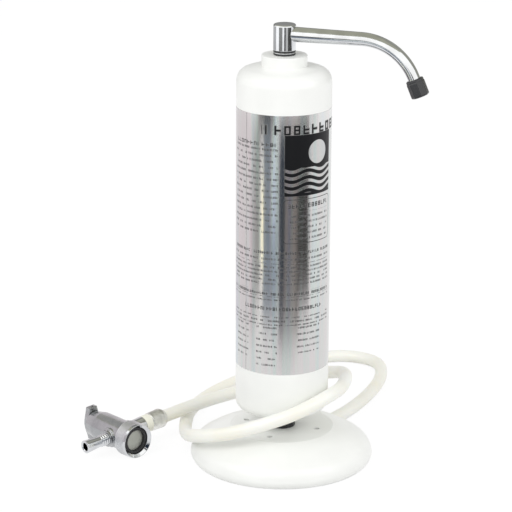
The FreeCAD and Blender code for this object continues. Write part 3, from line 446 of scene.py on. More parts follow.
def surface(name, colour, gloss, tint=None, bumps=None, metallic=0.0, **sockets):
    """A finish that wanders over the piece in patches, all lengths in metres.

    gloss: patch size, least and greatest roughness. tint: patch size, greatest share of another colour
    and that colour. bumps: grain size, detail and depth.
    """
    finish = Finish(name, colour, metallic, **sockets)
    finish.give("Roughness", finish.noise(gloss[0]).spread(*gloss[1:]))
    if tint:
        size, share, other = tint
        finish.give("Base Color", blend(finish.noise(size).spread(0.0, share), colour, other))
    if bumps:
        finish.relief(finish.noise(*bumps[:2]), bumps[2])
    return finish.material


def moulded_plastic(name, colour, rough, grain, depth=0.00002):
    """Injection moulded plastic: a soft gloss that varies a little, over a fine orange peel."""
    gloss = 0.018, rough - 0.05, rough + 0.06
    shade = [c * 0.955 for c in colour]
    return surface(name, colour, gloss, (0.035, 1.0, shade), (grain, 3.0, depth))


def chrome_plate(name, colour, rough=0.07, wave=0.00004):
    """Bright chromium plate over cast or drawn brass: a mirror that the metal below makes wavy."""
    gloss = 0.007, rough - 0.03, rough + 0.05
    return surface(name, colour, gloss, (0.011, 0.6, "#BDBEC0"), (0.006, 1.0, wave), 1.0)


def satin_nickel(colour):
    """Nickel plate over a cut knurl: dull between its teeth, with fine turning marks."""
    grime = 0.004, 0.5, "#A6A6A2"
    return surface("satin nickel plate", colour, (0.0012, 0.28, 0.5), grime, (0.0006, 2.0, 0.00002), 1.0)


def soft_hose(colour):
    """Extruded soft plastic: an even ivory, a waxy gloss, and long shallow waves."""
    depth = {"Subsurface_Weight": 0.08, "Subsurface_Scale": 1.0, "Subsurface_Radius": (0.002, 0.0016, 0.001)}
    warm = 0.05, 1.0, "#F3F1E4"
    return surface("soft extruded hose", colour, (0.02, 0.32, 0.44), warm, (0.009, 1.0, 0.00012), **depth)


def woven_screen():
    """Plain woven stainless wire: 0.9 mm between wires, drawn coarser than the real cloth to show, with
    painted shade in the openings between the wires.
    """
    finish = Finish("woven stainless screen", "#8E908C", 0.6, Roughness=0.45)
    wire_pitch = 0.9 * MM
    # A Mapping node of type Point turns first and moves after, so its move is turned too
    back = (shift(*(VALVE.translation * MM)) @ VALVE.to_3x3().to_4x4()).inverted()
    to_valve = {"Vector": finish.place(), "Location": back.translation, "Rotation": back.to_euler()}
    flat = term(finish.tree, "Mapping", "Vector", to_valve)
    waves = []
    for angle in (0.0, math.pi / 2):
        along = term(finish.tree, "Mapping", "Vector", {"Vector": flat, "Rotation": (0, 0, angle)})
        threads = {"Vector": along, "Scale": 0.314 / wire_pitch}
        waves.append(term(finish.tree, "TexWave", "Fac", threads))
    wires = union(waves)
    # The steel's colour along the wires; the openings between them are painted darker: painted shade of the
    # inside behind the screen
    finish.give("Base Color", blend(wires, "#84867F", "#C2C4BC"))
    finish.relief(wires, 0.00012)
    return finish.material


def granules(name, dark, bright, size, metallic=0.0):
    """A packed bed of broken grains of that size, painted lighter at each grain's middle and darker towards
    its edge and in the gaps between grains: painted shade.
    """
    finish = Finish(name, dark, metallic, Roughness=0.6)
    grains = {"Vector": finish.place(), "Scale": 1 / size}
    cells = term(finish.tree, "TexVoronoi", "Distance", grains)
    # Painted shade: the bright colour at each grain's middle, the dark one towards its edge and in the gaps
    # between grains
    finish.give("Base Color", blend(cells, bright, dark))
    finish.relief(cells, size / 3)
    return finish.material


def felt():
    """Needled polyester felt: matt, with loose fibres."""
    finish = Finish("needled white felt", "#E8E8E2", Roughness=0.95)
    fibre = finish.noise(0.0012, 6.0)
    finish.give("Base Color", blend(fibre, "#D2D2CA", "#F2F2EE"))
    finish.relief(fibre, 0.0006)
    return finish.material


class Print:
    """Ink masks on the label's own coordinates: across in mm from the front, up in mm over the table."""

    def __init__(self, tree):
        self.tree = tree
        wrap = term(tree, "UVMap", "UV", uv_map="wrap")
        split = add(tree, "SeparateXYZ", {"Vector": wrap})
        self.across, self.up = (Term(tree, split.outputs[axis]) * 1000.0 for axis in "XY")

    def box(self, left, right, low, high):
        return self.across.band(left, right) * self.up.band(low, high)

    def rounded(self, left, right, low, high, radius, line):
        """The outline of a rounded box: how far a point lies from the box's inner core."""
        past = [
            abs(value - (start + end) / 2) - ((end - start) / 2 - radius) | 0.0
            for value, start, end in ((self.across, left, right), (self.up, low, high))
        ]
        return distance(*past).band(radius - line / 2, radius + line / 2)

    def disc(self, across, up, radius):
        """A filled circle."""
        return distance(self.across - across, self.up - up).band(-radius, radius)

    def waves(self, left, right, low, high, pitch, share, swing, length):
        """Level stripes that rise and fall along a sine."""
        bend = (self.across * (2 * math.pi / length)).sine()
        within = ((self.up + bend * swing) / pitch).fraction()
        return within.band(0, share, 0.08) * self.box(left, right, low, high)

    def script(self, areas, low, row_pitch, height, pitch, stroke, cover=0.76):
        """Rows of marks made of straight strokes, which stand for print inside the areas.

        Each cell of a row has an upright at its left and, by chance, one at its right and bars at its
        top, middle and foot. Noise along each row opens the gaps between words.
        """
        above = self.up - low
        row = (above / row_pitch).floor()
        rise = above - row * row_pitch
        cell = (self.across / pitch).floor()
        along = self.across - cell * pitch
        wide, soft = 0.74 * pitch, 0.5 * stroke
        spot = term(self.tree, "CombineXYZ", 0, {"X": cell, "Y": row})
        chance = add(self.tree, "TexWhiteNoise", {"Vector": spot}).outputs
        chances = add(self.tree, "SeparateColor", {"Color": chance["Color"]}).outputs
        bars = []
        for channel, start in (("Red", height - stroke), ("Green", (height - stroke) / 2), ("Blue", 0.0)):
            drawn = Term(self.tree, chances[channel]) > 0.45
            bars.append(rise.band(start, start + stroke, soft) * drawn)
        bars = union(bars) * along.band(0, wide, soft)
        right = along.band(wide - stroke, wide, soft) * (Term(self.tree, chance["Value"]) > 0.5)
        uprights = (along.band(0, stroke, soft) | right) * rise.band(0, height, soft)
        run = term(self.tree, "CombineXYZ", 0, {"X": cell / 2.6, "Y": row * 7.3})
        words = term(self.tree, "TexNoise", "Fac", {"Vector": run, "Scale": 1.0, "Detail": 0.0})
        marks = (bars | uprights) * (words > 0.62 - 0.3 * cover)
        return marks * union([self.box(*area) for area in areas])


def label_print(tree, pitch):
    """The share of ink all over the label, with small lines of that pitch in mm."""
    art = Print(tree)
    # Each line: the areas it fills, its foot, row pitch, height, pitch of marks, stroke and cover
    small = (
        ([(-50, -4, 203, 272), (62, 178, 100, 276)], 203, pitch, 1.7, 1.35, 0.4),
        ([(5, 43, 198, 221)], 198, pitch * 0.95, 1.7, 1.35, 0.4),
        ([(-52, 46, 160.6, 178.5), (-52, 46, 126.5, 134)], 160.6, pitch * 0.72, 1.6, 1.3, 0.4),
        ([(-52, 46, 181, 184.5), (-52, 46, 147.5, 151)], 181, 3.4, 1.7, 1.35, 0.4),
        ([(-46, -30, 97, 126), (-22, -4, 92, 126), (12, 34, 103, 126)], 92, pitch * 1.1, 1.6, 1.3, 0.4),
    )
    bold = (
        ([(-18.2, 60, 283, 291.2)], 283, 9, 8, 7.7, 2, 1.4),
        ([(-50, -6, 273.5, 277.6)], 273.5, 4.4, 3, 3.6, 0.7, 1),
        ([(4, 42, 223.8, 228.6)], 223.8, 5.2, 3.6, 3.4, 0.75, 1),
        ([(-52, 46, 185.8, 189), (-52, 46, 151.8, 155.4)], 185.8, 3.4, 2.3, 1.9, 0.55, 0.8),
        ([(-34, 36, 139, 143)], 139, 4.2, 3, 2.6, 0.66, 0.9),
    )
    sun_and_sea = art.disc(30, 268, 9.5) | art.waves(0.8, 46, 236, 256.5, 5.4, 0.46, 1.7, 27)
    masks = [art.script(*line) * 0.95 for line in small]
    masks += [art.script(*line) for line in bold]
    masks.append(art.rounded(0, 46, 195, 230.8, 3.5, 0.5))
    masks.append(art.box(0.8, 46, 233.6, 283) - sun_and_sea * 0.9)
    return union(masks).clamped()


def printed_foil(foil, ink, pitch):
    """Metallised polyester film, printed: a brushed mirror with upright streaks, and matt dark ink."""
    finish = Finish("printed metallised film", foil, metallic=1.0, Specular_IOR_Level=0.2)
    printed = label_print(finish.tree, pitch / MM)
    drawn_out = {"Vector": finish.place(), "Scale": (1, 1, 0.03)}
    upright = term(finish.tree, "Mapping", "Vector", drawn_out)
    streak = finish.noise(0.009, 3.0, upright)
    # Thin-film colours of the metallised layer: faint rose, green and blue in upright streaks
    tints = add(finish.tree, "ValToRGB", {"Fac": streak})
    ramp = tints.color_ramp
    film = {0.3: "#CBCFD5", 0.42: "#D2D3D1", 0.5: "#D5D0D1", 0.58: "#CDD4D1", 0.7: "#C6CBD6"}
    for place, code in film.items():
        ramp.elements.new(place).color = opaque(code)
    ramp.elements.remove(ramp.elements[0])
    ramp.elements.remove(ramp.elements[-1])
    finish.give("Base Color", blend(printed, Term(finish.tree, tints.outputs["Color"]), ink))
    finish.give("Metallic", 1 - printed * 0.9)
    finish.give("Roughness", streak.spread(0.14, 0.26) + printed * 0.2)
    finish.relief(streak, 0.0002)
    return finish.material


FINISHES = {}


def make_finishes():
    """All finishes, from the colours and sizes that the panel shows."""
    colours = bpy.context.scene.water_filter_colours
    sizes = bpy.context.scene.water_filter_sizes
    grain = sizes.grain
    cast = [0.54 * c for c in colours.chrome]
    knurled = [0.95 * c for c in colours.chrome]
    FINISHES.update(
        white=moulded_plastic("moulded white plastic", colours.plastic, 0.34, grain),
        sleeve=moulded_plastic("turned ivory plastic", colours.sleeve, 0.42, grain),
        black=moulded_plastic("moulded black plastic", colours.black, 0.26, grain, 0.00001),
        chrome=chrome_plate("chromium plate", colours.chrome),
        cast=chrome_plate("chromium plate on a casting", cast, 0.18, 0.00009),
        knurled=chrome_plate("chromium plate on a knurl", knurled, 0.3, 0.00003),
        satin=satin_nickel(colours.satin),
        foil=printed_foil(colours.foil, colours.ink, sizes.text_pitch),
        hose=soft_hose(colours.hose),
        rubber=surface("moulded black rubber", "#1D1D20", (0.002, 0.5, 0.7), bumps=(0.0007, 2.0, 0.00003)),
        steel=surface("spring steel", "#A7A8A8", (0.003, 0.25, 0.42), metallic=1.0),
        screen=woven_screen(),
        carbon=granules("granular carbon", "#121214", "#3A3A3C", 0.0016),
        metal_grains=granules("copper and zinc granules", "#6B5424", "#C9A55A", 0.0012, 1.0),
        felt=felt(),
    )


# Operators


def on_rays(tree, *kinds):
    """One on rays of these kinds, else zero."""
    rays = add(tree, "LightPath").outputs
    return union([Term(tree, rays["Is %s Ray" % kind]) for kind in kinds])


# Each screen: azimuths from the viewer's direction towards the right in degrees, both edges in metres,
# and its colour in linear light
CARDS = (
    ("pale screen", -180, -80, 0, 0.215, (0.92, 0.87, 0.89)),
    ("mottled grey screen", -80, -68, 0, 0.215, (0.62, 0.58, 0.6)),
    ("grey green screen", -68, -55, 0.04, 0.215, (0.36, 0.4, 0.37)),
    ("bright slit", -50.4, -47.4, 0.068, 0.153, (2.8, 2.7, 1.7)),
    ("blue grey screen", -47, -12, 0.012, 0.215, (0.27, 0.31, 0.37)),
    ("blue black screen", -9, 3.5, 0, 0.215, (0.02, 0.03, 0.05)),
    ("brown grey screen", 3.5, 37, 0, 0.215, (0.27, 0.25, 0.23)),
    ("blue slit", 12, 16, 0, 0.215, (0.06, 0.1, 0.22)),
    ("dark screen", 32, 62, 0.035, 0.215, (0.03, 0.03, 0.028)),
    ("pale slit", -28, -15.5, 0.11, 0.215, (1.15, 1.22, 1.18)),
    ("grey strip", -180, -95, 0.24, 0.3, (0.6, 0.6, 0.6)),
    ("white strip", -95, -59, 0.24, 0.3, (1.45, 1.45, 1.45)),
    ("grey left strip", -59, -23, 0.262, 0.305, (0.34, 0.34, 0.33)),
    ("dark left strip", -59, -20, 0.205, 0.262, (0.09, 0.09, 0.09)),
    ("bright strip", -20.5, -5, 0.24, 0.3, (1.3, 1.3, 1.3)),
    ("black strip", -2.5, 10.5, 0.24, 0.322, (0.02, 0.02, 0.023)),
    ("pale strip", 12, 31, 0.24, 0.3, (0.66, 0.66, 0.65)),
    ("dark strip", 33, 76, 0.24, 0.3, (0.09, 0.09, 0.085)),
    ("white right strip", 86, 150, 0.2, 0.3, (1.2, 1.2, 1.2)),
    ("white front wall", -95, 74, 0.3, 0.72, (1.5, 1.49, 1.45)),
    ("olive wall", 78, 150, 0.31, 1.2, (0.4, 0.4, 0.35)),
    ("grey wall", 150, 230, 0.31, 0.6, (0.31, 0.31, 0.3)),
)


def set_camera(scene):
    """Camera 1.8 m away and 0.72 m up, pitched down 16.9 degrees."""
    sensor, picture, focal_pixels = 36.0, 512, 2326.2
    pitch, yaw, roll = 0.2944, -0.01205, 0.0047
    data = bpy.data.cameras.new("camera")
    data.sensor_width = sensor
    data.lens = focal_pixels / picture * sensor
    aim = Matrix.Rotation(-yaw, 4, "Z") @ Matrix.Rotation(math.pi / 2 - pitch, 4, "X")
    scene.camera = placed("camera", data)
    scene.camera.matrix_world = shift(0, -1.8, 0.7192) @ aim @ Matrix.Rotation(roll, 4, "Z")


def set_world(scene):
    """Even pale light, white to the camera and in the metal."""
    world = bpy.data.worlds.new("pale studio")
    world.use_nodes = True
    tree = world.node_tree
    light = tree.nodes["Background"]
    light.inputs["Color"].default_value = (1, 1, 1, 1)
    clear = on_rays(tree, "Camera", "Glossy", "Transmission")
    dim = 0.77
    feed(tree, clear * (1 - dim) + dim, light.inputs["Strength"])
    scene.world = world


def lay_floor():
    """A white floor that keeps a faint shadow."""
    half, level = 3.0, -0.0003
    finish = Finish("white paper", (0.8, 0.8, 0.8), Roughness=0.9, Specular_IOR_Level=0.0)
    share = on_rays(finish.tree, "Camera", "Glossy") * 0.86
    glow = add(finish.tree, "Emission", {"Strength": 1.06})
    mixed = {"Fac": share, 1: finish.shader.outputs[0], 2: glow.outputs[0]}
    finish.show(add(finish.tree, "MixShader", mixed))
    rows = np.array([[(x, y, level) for x in (-half, half)] for y in (-half, half)])
    bare_sheet("floor", rows, finish)


def hang_lamps():
    """A broad key from the upper left, a softer fill from the right."""
    aim = Vector((0, 0, 0.15))
    for name, place, size, power in (
        ("key", (-1.3, -1.5, 1.9), 1.3, 20),
        ("fill", (1.6, -1, 1.2), 1.2, 9.5),
    ):
        data = bpy.data.lights.new(name, "AREA")
        data.size, data.energy = size, power
        back = Vector(place) - aim
        aimed = back.to_track_quat("Z", "Y").to_matrix().to_4x4()
        placed(name, data).matrix_world = shift(*place) @ aimed


def hang_cards():
    """The room round the filter as its metal mirrors it, in screens on a ring of 0.37 m.

    The lowest 0.215 m is what the label mirrors, the strip above it what the post mirrors, and the
    walls above 0.3 m and the ceiling what the spout mirrors.
    """
    near, far, columns = 0.37, 0.385, 13
    set_back = ("blue grey screen", "brown grey screen", "white front wall")
    for name, start, end, low, high, colour in CARDS:
        angles = np.radians(np.linspace(start, end, columns) - 90)
        radius = far if name in set_back else near
        hang_card(name, ring_grid(radius, angles, np.array([[low], [high]])), colour)
    section = ((0.9, 0.3), (0.9, 1.2), (-0.1, 1.35), (-0.75, 1.12))
    rows = np.array([[(x, y, z) for x in (-1.6, 1.6)] for y, z in section])
    hang_card("olive ceiling", rows, (0.5, 0.5, 0.4))


def hang_card(name, rows, colour):
    """A glowing sheet that only reflections show."""
    finish = Finish(name, colour)
    finish.show(add(finish.tree, "Emission", {"Color": opaque(colour)}))
    card = bare_sheet(name, rows, finish)
    card.visible_camera = card.visible_diffuse = card.visible_shadow = False


def bare_sheet(name, rows, finish):
    """A bare sheet of the stage, from rows of points in metres."""
    points, faces = skin(rows, around=False, loop=False)
    mesh = bpy.data.meshes.new(name)
    mesh.from_pydata(points.tolist(), [], faces)
    mesh.materials.append(finish.material)
    thing = placed(name, mesh)
    return thing


class AddStage(Operator):
    """Add the camera, floor, light and the dark cards that the metal mirrors"""

    bl_idname = "water_filter.add_stage"
    bl_label = "Stage and camera"

    def execute(self, context):
        set_camera(context.scene)
        set_world(context.scene)
        lay_floor()
        hang_lamps()
        hang_cards()
        return {"FINISHED"}


class AddHose(Operator):
    """Add the hose from the elbow under the base to the valve"""

    bl_idname = "water_filter.add_hose"
    bl_label = "Hose"

    def execute(self, context):
        diameter = context.scene.water_filter_sizes.hose_diameter
        data = bpy.data.curves.new("hose_line", "CURVE")
        data.dimensions = "3D"
        data.bevel_depth = diameter / 2
        data.bevel_resolution = 8
        data.use_fill_caps = True
        spline = data.splines.new("NURBS")
        spline.points.add(len(HOSE_ROUTE) - 1)
        points = np.insert(np.array(HOSE_ROUTE) * MM, 3, 1, axis=1)
        spline.points.foreach_set("co", points.ravel())
        spline.order_u = 3
        spline.use_endpoint_u = True
        hose = placed("hose_tube", data)
        data.materials.append(FINISHES["hose"])
        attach(hose, "filter")
        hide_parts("hose")
        return {"FINISHED"}


def cut_holes(context, base):
    """The small holes through the flat top and the arch in the rim for the hose."""
    cutters = []
    for index in range(4):
        angle = math.radians(72 + 90 * index)
        place = shift(SCREW_CIRCLE * math.cos(angle), SCREW_CIRCLE * math.sin(angle), 0)
        cutters.append(lathe([(0, 20), (2.4, 20), (2.4, 32), (0, 32)], place, 32, edge=0))
    angle = np.linspace(0, np.pi, 25)
    arch = np.stack([HOSE_ARCH * np.cos(angle), HOSE_ROUTE[0][2] + HOSE_ARCH * np.sin(angle)], axis=1)
    arch = np.vstack([(HOSE_ARCH, -4.0), arch, (-HOSE_ARCH, -4.0)])
    ends = [np.column_stack([np.full(len(arch), x), arch]) for x in (40.0, 90.0)]
    cutters.append(skin(np.stack(ends, axis=1), turn("Z", 57.8), around=False, caps=True))
    tool = placed("cutter", mesh_of("cutter", cutters))
    modifier = base.modifiers.new("cut", "BOOLEAN")
    modifier.object = tool
    modifier.operation = "DIFFERENCE"
    modifier.solver = "EXACT"
    done = base.evaluated_get(context.evaluated_depsgraph_get())
    mesh = bpy.data.meshes.new_from_object(done)
    base.modifiers.clear()
    base.data = mesh
    mesh.set_sharp_from_angle(angle=math.radians(35))
    bpy.data.objects.remove(tool)
    if len(mesh.polygons) < 1000:
        raise RuntimeError("the base was lost when its holes were cut")


class AddBase(Operator):
    """Add the moulded base and the black nut on it"""

    bl_idname = "water_filter.add_base"
    bl_label = "Base"

    def execute(self, context):
        outline = [
            *arc((71.5, 0), (75, 6), 8.5, 1),
            *arc((75, 6), (69.5, 16.3), 14, 1)[1:],
            *arc((69.5, 16.3), (43, 28.3), 90, 1, 24)[1:],
            (42.6, PLATFORM, 0.5),
            (STEM_BORE, PLATFORM, 0.3),
            (STEM_BORE, PLATFORM - 3, 0.3),
            *arc((41.1, 25.5), (66.5, 14.8), 90, -1),
            *arc((66.5, 14.8), (72, 6), 14, -1)[1:],
            *arc((72, 6), (68.5, 0), 8.5, -1)[1:-1],
            (68.5, 0, 0.3),
        ]
        base = turned("base_dish", outline, "white", "base", segments=256)
        cut_holes(context, base)
        flutes, nut = 20, 11.2

        def fluted(angle, height, radius):
            return 1 - 0.02 * (radius > nut - 0.2) * (np.cos(flutes * angle) > 0.6)

        low, high = PLATFORM, COLLAR_BOTTOM
        side = [(STEM_BORE, low), (nut, low, 0.5), (nut, high, 0.5), (STEM_BORE, high)]
        form = {"segments": flutes * 12, "step": 1.0, "swell": fluted}
        turned("platform_nut_fluted", side, "black", "platform_nut", **form)
        return {"FINISHED"}


class AddCanister(Operator):
    """Add the canister's two caps"""

    bl_idname = "water_filter.add_canister"
    bl_label = "Canister"

    def execute(self, context):
        floor, lid = CANISTER_BOTTOM + 3.0, CANISTER_TOP - 6.0
        spigot_top, spigot_foot = LOWER_JOINT + SPIGOT_LENGTH, UPPER_JOINT - SPIGOT_LENGTH
        shoulder = CANISTER_TOP - (CANISTER - COLLAR) * math.tan(SHOULDER_SLOPE)
        lower = [
            (STEM_BORE, COLLAR_BOTTOM), (COLLAR, COLLAR_BOTTOM, 1), (COLLAR, CANISTER_BOTTOM, 0.4),
            (CANISTER, CANISTER_BOTTOM, 6.5), (CANISTER, LOWER_JOINT, 0.2), (SPIGOT, LOWER_JOINT, 0.2),
            (SPIGOT, spigot_top), (SPIGOT_BORE, spigot_top), (SPIGOT_BORE, floor, 2), (STEM_BORE, floor),
        ]
        upper = [
            (SPIGOT_BORE, spigot_foot), (SPIGOT, spigot_foot), (SPIGOT, UPPER_JOINT, 0.2),
            (CANISTER, UPPER_JOINT, 0.2), (CANISTER, shoulder, 10), (COLLAR, CANISTER_TOP, 0.3),
            (COLLAR, COLLAR_TOP, 0.7), (PIVOT_BORE, COLLAR_TOP), (PIVOT_BORE, lid), (SPIGOT_BORE, lid, 1.2),
        ]
        for name, corners, node in (("cap_lower", lower, "bottom_cap"), ("cap_upper", upper, "top_cap")):
            turned(name, corners, "white", node, segments=192, edge=0.3)
        return {"FINISHED"}


class AddLabel(Operator):
    """Add the printed foil, wrapped round the canister and over its own start"""

    bl_idname = "water_filter.add_label"
    bl_label = "Label"

    def execute(self, context):
        """The film's inner radius climbs by its own thickness where it laps over its start."""
        film, gap, climb = 0.06, 0.015, 0.03
        overlap = context.scene.water_filter_sizes.label_overlap / MM / CANISTER
        seam = math.radians(-139.9)
        end = seam + 2 * np.pi
        angle = np.linspace(seam - overlap, end, 361)
        lap = np.clip((angle - (end - overlap - climb)) / climb, 0, 1)
        inner = CANISTER + gap + (film + 0.01) * lap
        heights = stations(LOWER_JOINT - 5.4, UPPER_JOINT + 5.3, 60)
        out = np.repeat([0.0, film], len(heights))[:, None]
        up = np.concatenate([heights, heights[::-1]])[:, None]
        shape = skin(ring_grid(inner + out, angle, up), around=False, caps=True)
        mesh = piece("label_wrap", [shape], "foil", "label").data
        places = read(mesh.vertices, "co", 3)
        around = np.arctan2(places[:, 0], -places[:, 1]) * CANISTER * MM
        corners = read(mesh.loops, "vertex_index", 1, np.int32)[:, 0]
        wrap = np.stack([around, places[:, 2]], axis=1)[corners]
        mesh.uv_layers.new(name="wrap").data.foreach_set("uv", wrap.ravel())
        return {"FINISHED"}


def spout_line(along):
    """The spout's middle line at that distance from the post's axis: x, z and how far it has turned."""
    past = along - SPOUT_STRAIGHT
    angle = np.clip(past, 0, SPOUT_BEND * SPOUT_ANGLE) / SPOUT_BEND
    after = np.maximum(past - SPOUT_BEND * SPOUT_ANGLE, 0)
    x = np.minimum(along, SPOUT_STRAIGHT) + SPOUT_BEND * np.sin(angle) + after * np.cos(angle)
    z = SPOUT_LEVEL - SPOUT_BEND * (1 - np.cos(angle)) - after * np.sin(angle)
    return x, z, angle


def bent_tube():
    """A round section of radius 6.0 to 4.8 mm carried along the spout's middle line."""
    start, root, taper, wall, rolled = 6.8, 6.0, 1.2, 1.0, 0.3
    length = SPOUT_LENGTH - start
    along = stations(0, length, 120)
    wide = root - taper * along / length
    wide = wide - rolled * np.clip(rolled - np.minimum(along, length - along), 0, rolled)
    wide = np.concatenate([wide, wide[::-1] - wall])[:, None]
    x, z, angle = spout_line(start + np.concatenate([along, along[::-1]])[:, None])
    section = np.linspace(0, 2 * np.pi, 64, endpoint=False)[None, :]
    lift = wide * np.cos(section)
    grid = [x + lift * np.sin(angle), wide * np.sin(section), z + lift * np.cos(angle)]
    return skin(np.stack(grid, axis=-1), SPOUT)


def nozzle_shape():
    """A softened octagon round a bore, with rolled ends and a shallow groove."""
    out, flats, overlap = 7.3, 6.75, 8.1
    x, z, angle = spout_line(SPOUT_LENGTH - overlap)
    corners = [
        (4.92, 0), (7, 0, 1), (7, 2.2, 0.4), (out, 3, 0.4), (out, 14.4, 1.3),
        (4.6, 14.4, 0.6), (4.2, 13.4, 0.3), (3.6, 13.4, 0.3), (3.6, 8.25), (4.92, 8.25),
    ]

    def facets(angle, height, radius):
        side = (angle + np.pi / 8) % (np.pi / 4) - np.pi / 8
        return np.where(radius > 6, np.minimum(1.0, flats / out / np.cos(side)), 1.0)

    place = SPOUT @ shift(x, 0, z) @ turn("Y", 90 + math.degrees(angle))
    return lathe(corners, place, 160, step=1.0, swell=facets)


class AddSpout(Operator):
    """Add the swivel spout: bushing, post, bent tube and nozzle"""

    bl_idname = "water_filter.add_spout"
    bl_label = "Spout"

    def execute(self, context):
        ring, groove = 8.9, 8.2
        on_collar = shift(0, 0, COLLAR_TOP)
        bushing = [
            (6.5, 0), (ring, 0, 0.6), (ring, 1.5, 0.3), (groove, 1.5, 0.1),
            (groove, 2.3, 0.1), (ring, 2.3, 0.3), (ring, 3.5, 0.5), (6.5, 3.5),
        ]
        turned("bushing_grooved", bushing, "black", "post_bushing", on_collar)
        band = [(8.22, 1.52), (8.85, 1.52, 0.2), (8.85, 2.28, 0.2), (8.22, 2.28)]
        turned("bushing_band", band, "chrome", None, on_collar, edge=0.1)
        post = [(0, 20.8), (8.95, 20.8, 1.2), (8.95, 0, 0.4), (6.5, 0), (6.5, 15.6), (0, 15.6)]
        on_bushing = SPOUT @ shift(0, 0, POST_BOTTOM)
        turned("post_plated", post, "chrome", "spout_post", on_bushing, body="spout")
        piece("spout_bent", [bent_tube()], "chrome", "spout_tube", "spout")
        piece("nozzle_black", [nozzle_shape()], "black", "nozzle", "spout")
        return {"FINISHED"}


def knurl(outer, teeth, depth, pitch, low, high):
    """The factor on the radius that cuts a diamond knurl: two crossed sets of lines of that pitch."""
    fade, reach = 0.4, 0.05

    def swell(angle, height, radius):
        lean = 2 * np.pi * height / pitch
        cross = np.abs(np.sin((teeth * angle + lean) / 2) * np.sin((teeth * angle - lean) / 2))
        band = np.clip(np.minimum(height - low, high - height) / fade, 0, 1)
        on_side = np.clip((radius - outer + reach) / reach, 0, 1)
        return 1 - depth * (1 - cross) * band * on_side / outer

    return swell


def beaded_outlet():
    """Three rolled beads near the root, then a plain flare to a bright rim."""
    corners = [(3.3, 7.65), (5, 7.65), (5, 14.6)]
    for start in (15.1, 17.4, 19.7):
        corners += [(4.3, start, 0.4), (5.2, start + 1.1, 0.5)]
    flare = [(4.4, 21.6, 0.6), (5.5, 35.8, 0.5), (5.5, 36.6, 0.3)]
    return corners + flare + [(4.7, 37, 0.3), (3.9, 37, 0.3), (3.3, 36.2, 0.3)]


class AddValve(Operator):
    """Add the tap valve's plated barrel, its side outlet and the tail that carries the hose"""

    bl_idname = "water_filter.add_valve"
    bl_label = "Tap valve"

    def execute(self, context):
        neck = [(7.5, -5.6), (10, -5.6), (10, -8.6), (9.2, -8.6), (9.2, -10), (10, -10), (10, -14)]
        back = [(12.4, -14, 1.2), (12.4, -46.6, 7), (10.9, -54.6, 2), (10.6, -57, 0.5), (7.5, -57)]
        boss = [
            (5.05, 7.6), (8.6, 9.5, 0.3), (8.4, 11.4, 3), (6.9, 12.4, 1.5), (6.9, 14.6, 0.4), (5.05, 14.6),
        ]
        barrel = [lathe(neck + back, VALVE), *(lathe(boss, side, 96) for side in (HOSE_SIDE, OUTLET_SIDE))]
        piece("valve_barrel", barrel, "cast", "valve_body")
        turned("outlet_spigot", beaded_outlet(), "chrome", "outlet_tube", OUTLET_SIDE)
        tail = [
            (2.6, 7.65), (5, 7.65), (5, 14.6), (6.8, 14.6, 0.4), (7.4, 24.2, 0.4),
            (6.8, 24.8, 0.3), (4, 24.8), (4, 47.2), (2.6, 47.2),
        ]
        turned("tail_stem", tail, "chrome", "hose_tail", HOSE_SIDE)
        return {"FINISHED"}


def brighten(mesh):
    """Bright plate on the turned bevel and rim, which the knurl doesn't reach."""
    bevel_foot = -2.0
    mesh.materials.append(FINISHES["chrome"])
    back = np.array(VALVE.inverted())
    height = read(mesh.polygons, "center", 3) @ back[2, :3] / MM + back[2, 3]
    mesh.polygons.foreach_set("material_index", (height > bevel_foot).astype(np.int32))


class AddSwivelNut(Operator):
    """Add the knurled nut that screws on a tap, with the washer and screen in its mouth"""

    bl_idname = "water_filter.add_swivel_nut"
    bl_label = "Swivel nut"

    def execute(self, context):
        sizes = context.scene.water_filter_sizes
        teeth, outer = sizes.swivel_teeth, 14.7
        nut = [
            (11.6, -1.9, 0.2), (13.9, 0, 0.5), (14.3, 0, 0.4), (outer, -2.2, 0.8), (outer, -13.5, 1.1),
            (10.06, -13.5), (10.06, -10.4), (11.9, -10.4), (11.9, -2.6), (11.6, -2.6),
        ]
        form = {"step": 0.14, "swell": knurl(outer, teeth, sizes.knurl_depth / MM, 1.0, -12.0, -3.2)}
        nut = turned("swivel_nut_knurled", nut, "knurled", "swivel_nut", VALVE, teeth * 6, "tap_nut", **form)
        brighten(nut.data)
        washer = [(8.7, -5.1), (11.2, -5.1), (11.2, -2.6, 0.4), (8.7, -2.6, 0.4)]
        turned("tap_washer", washer, "rubber", "swivel_washer", VALVE)
        screen = [(0, -5.6), (10, -5.6), (10, -5.1), (0, -4.9)]
        turned("tap_screen", screen, "screen", "mesh_screen", VALVE, edge=0.1)
        return {"FINISHED"}


def lever_wings():
    """Half the width along the lever: 4.3 mm at both tips, swelling by a cosine to 7.2 mm over the screw.

    Each section is a rounded rectangle; fine ribs cross the outer side.
    """
    half, tip, belly, thickness, level = 14.2, 4.3, 2.9, 2.8, -60.3
    rib_height, rib_pitch = 0.3, 1.9
    ends = [half, half, half - 0.15]
    middle = np.linspace(-half + 0.5, half - 0.5, 140)
    along = np.concatenate([np.negative(ends), middle, ends[::-1]])[:, None]
    size = np.ones_like(along)
    size[[0, -1]] = 0.0
    size[[1, -2]] = 0.93
    wide = tip + belly * np.cos(along / half * np.pi / 2) ** 1.6
    angle = np.linspace(0, 2 * np.pi, 48, endpoint=False)
    square = (np.abs(np.cos(angle)) ** 8 + np.abs(np.sin(angle)) ** 8) ** (-1 / 8)
    across, thick = square * np.cos(angle), square * np.sin(angle)
    rib = rib_height * (np.sin(along * 2 * np.pi / rib_pitch) > 0)
    depth = thickness * thick * size + rib * (thick < -0.9)
    grid = np.stack([wide * across * size, along + 0 * across, level + depth], axis=-1)
    return skin(grid, VALVE, loop=False)


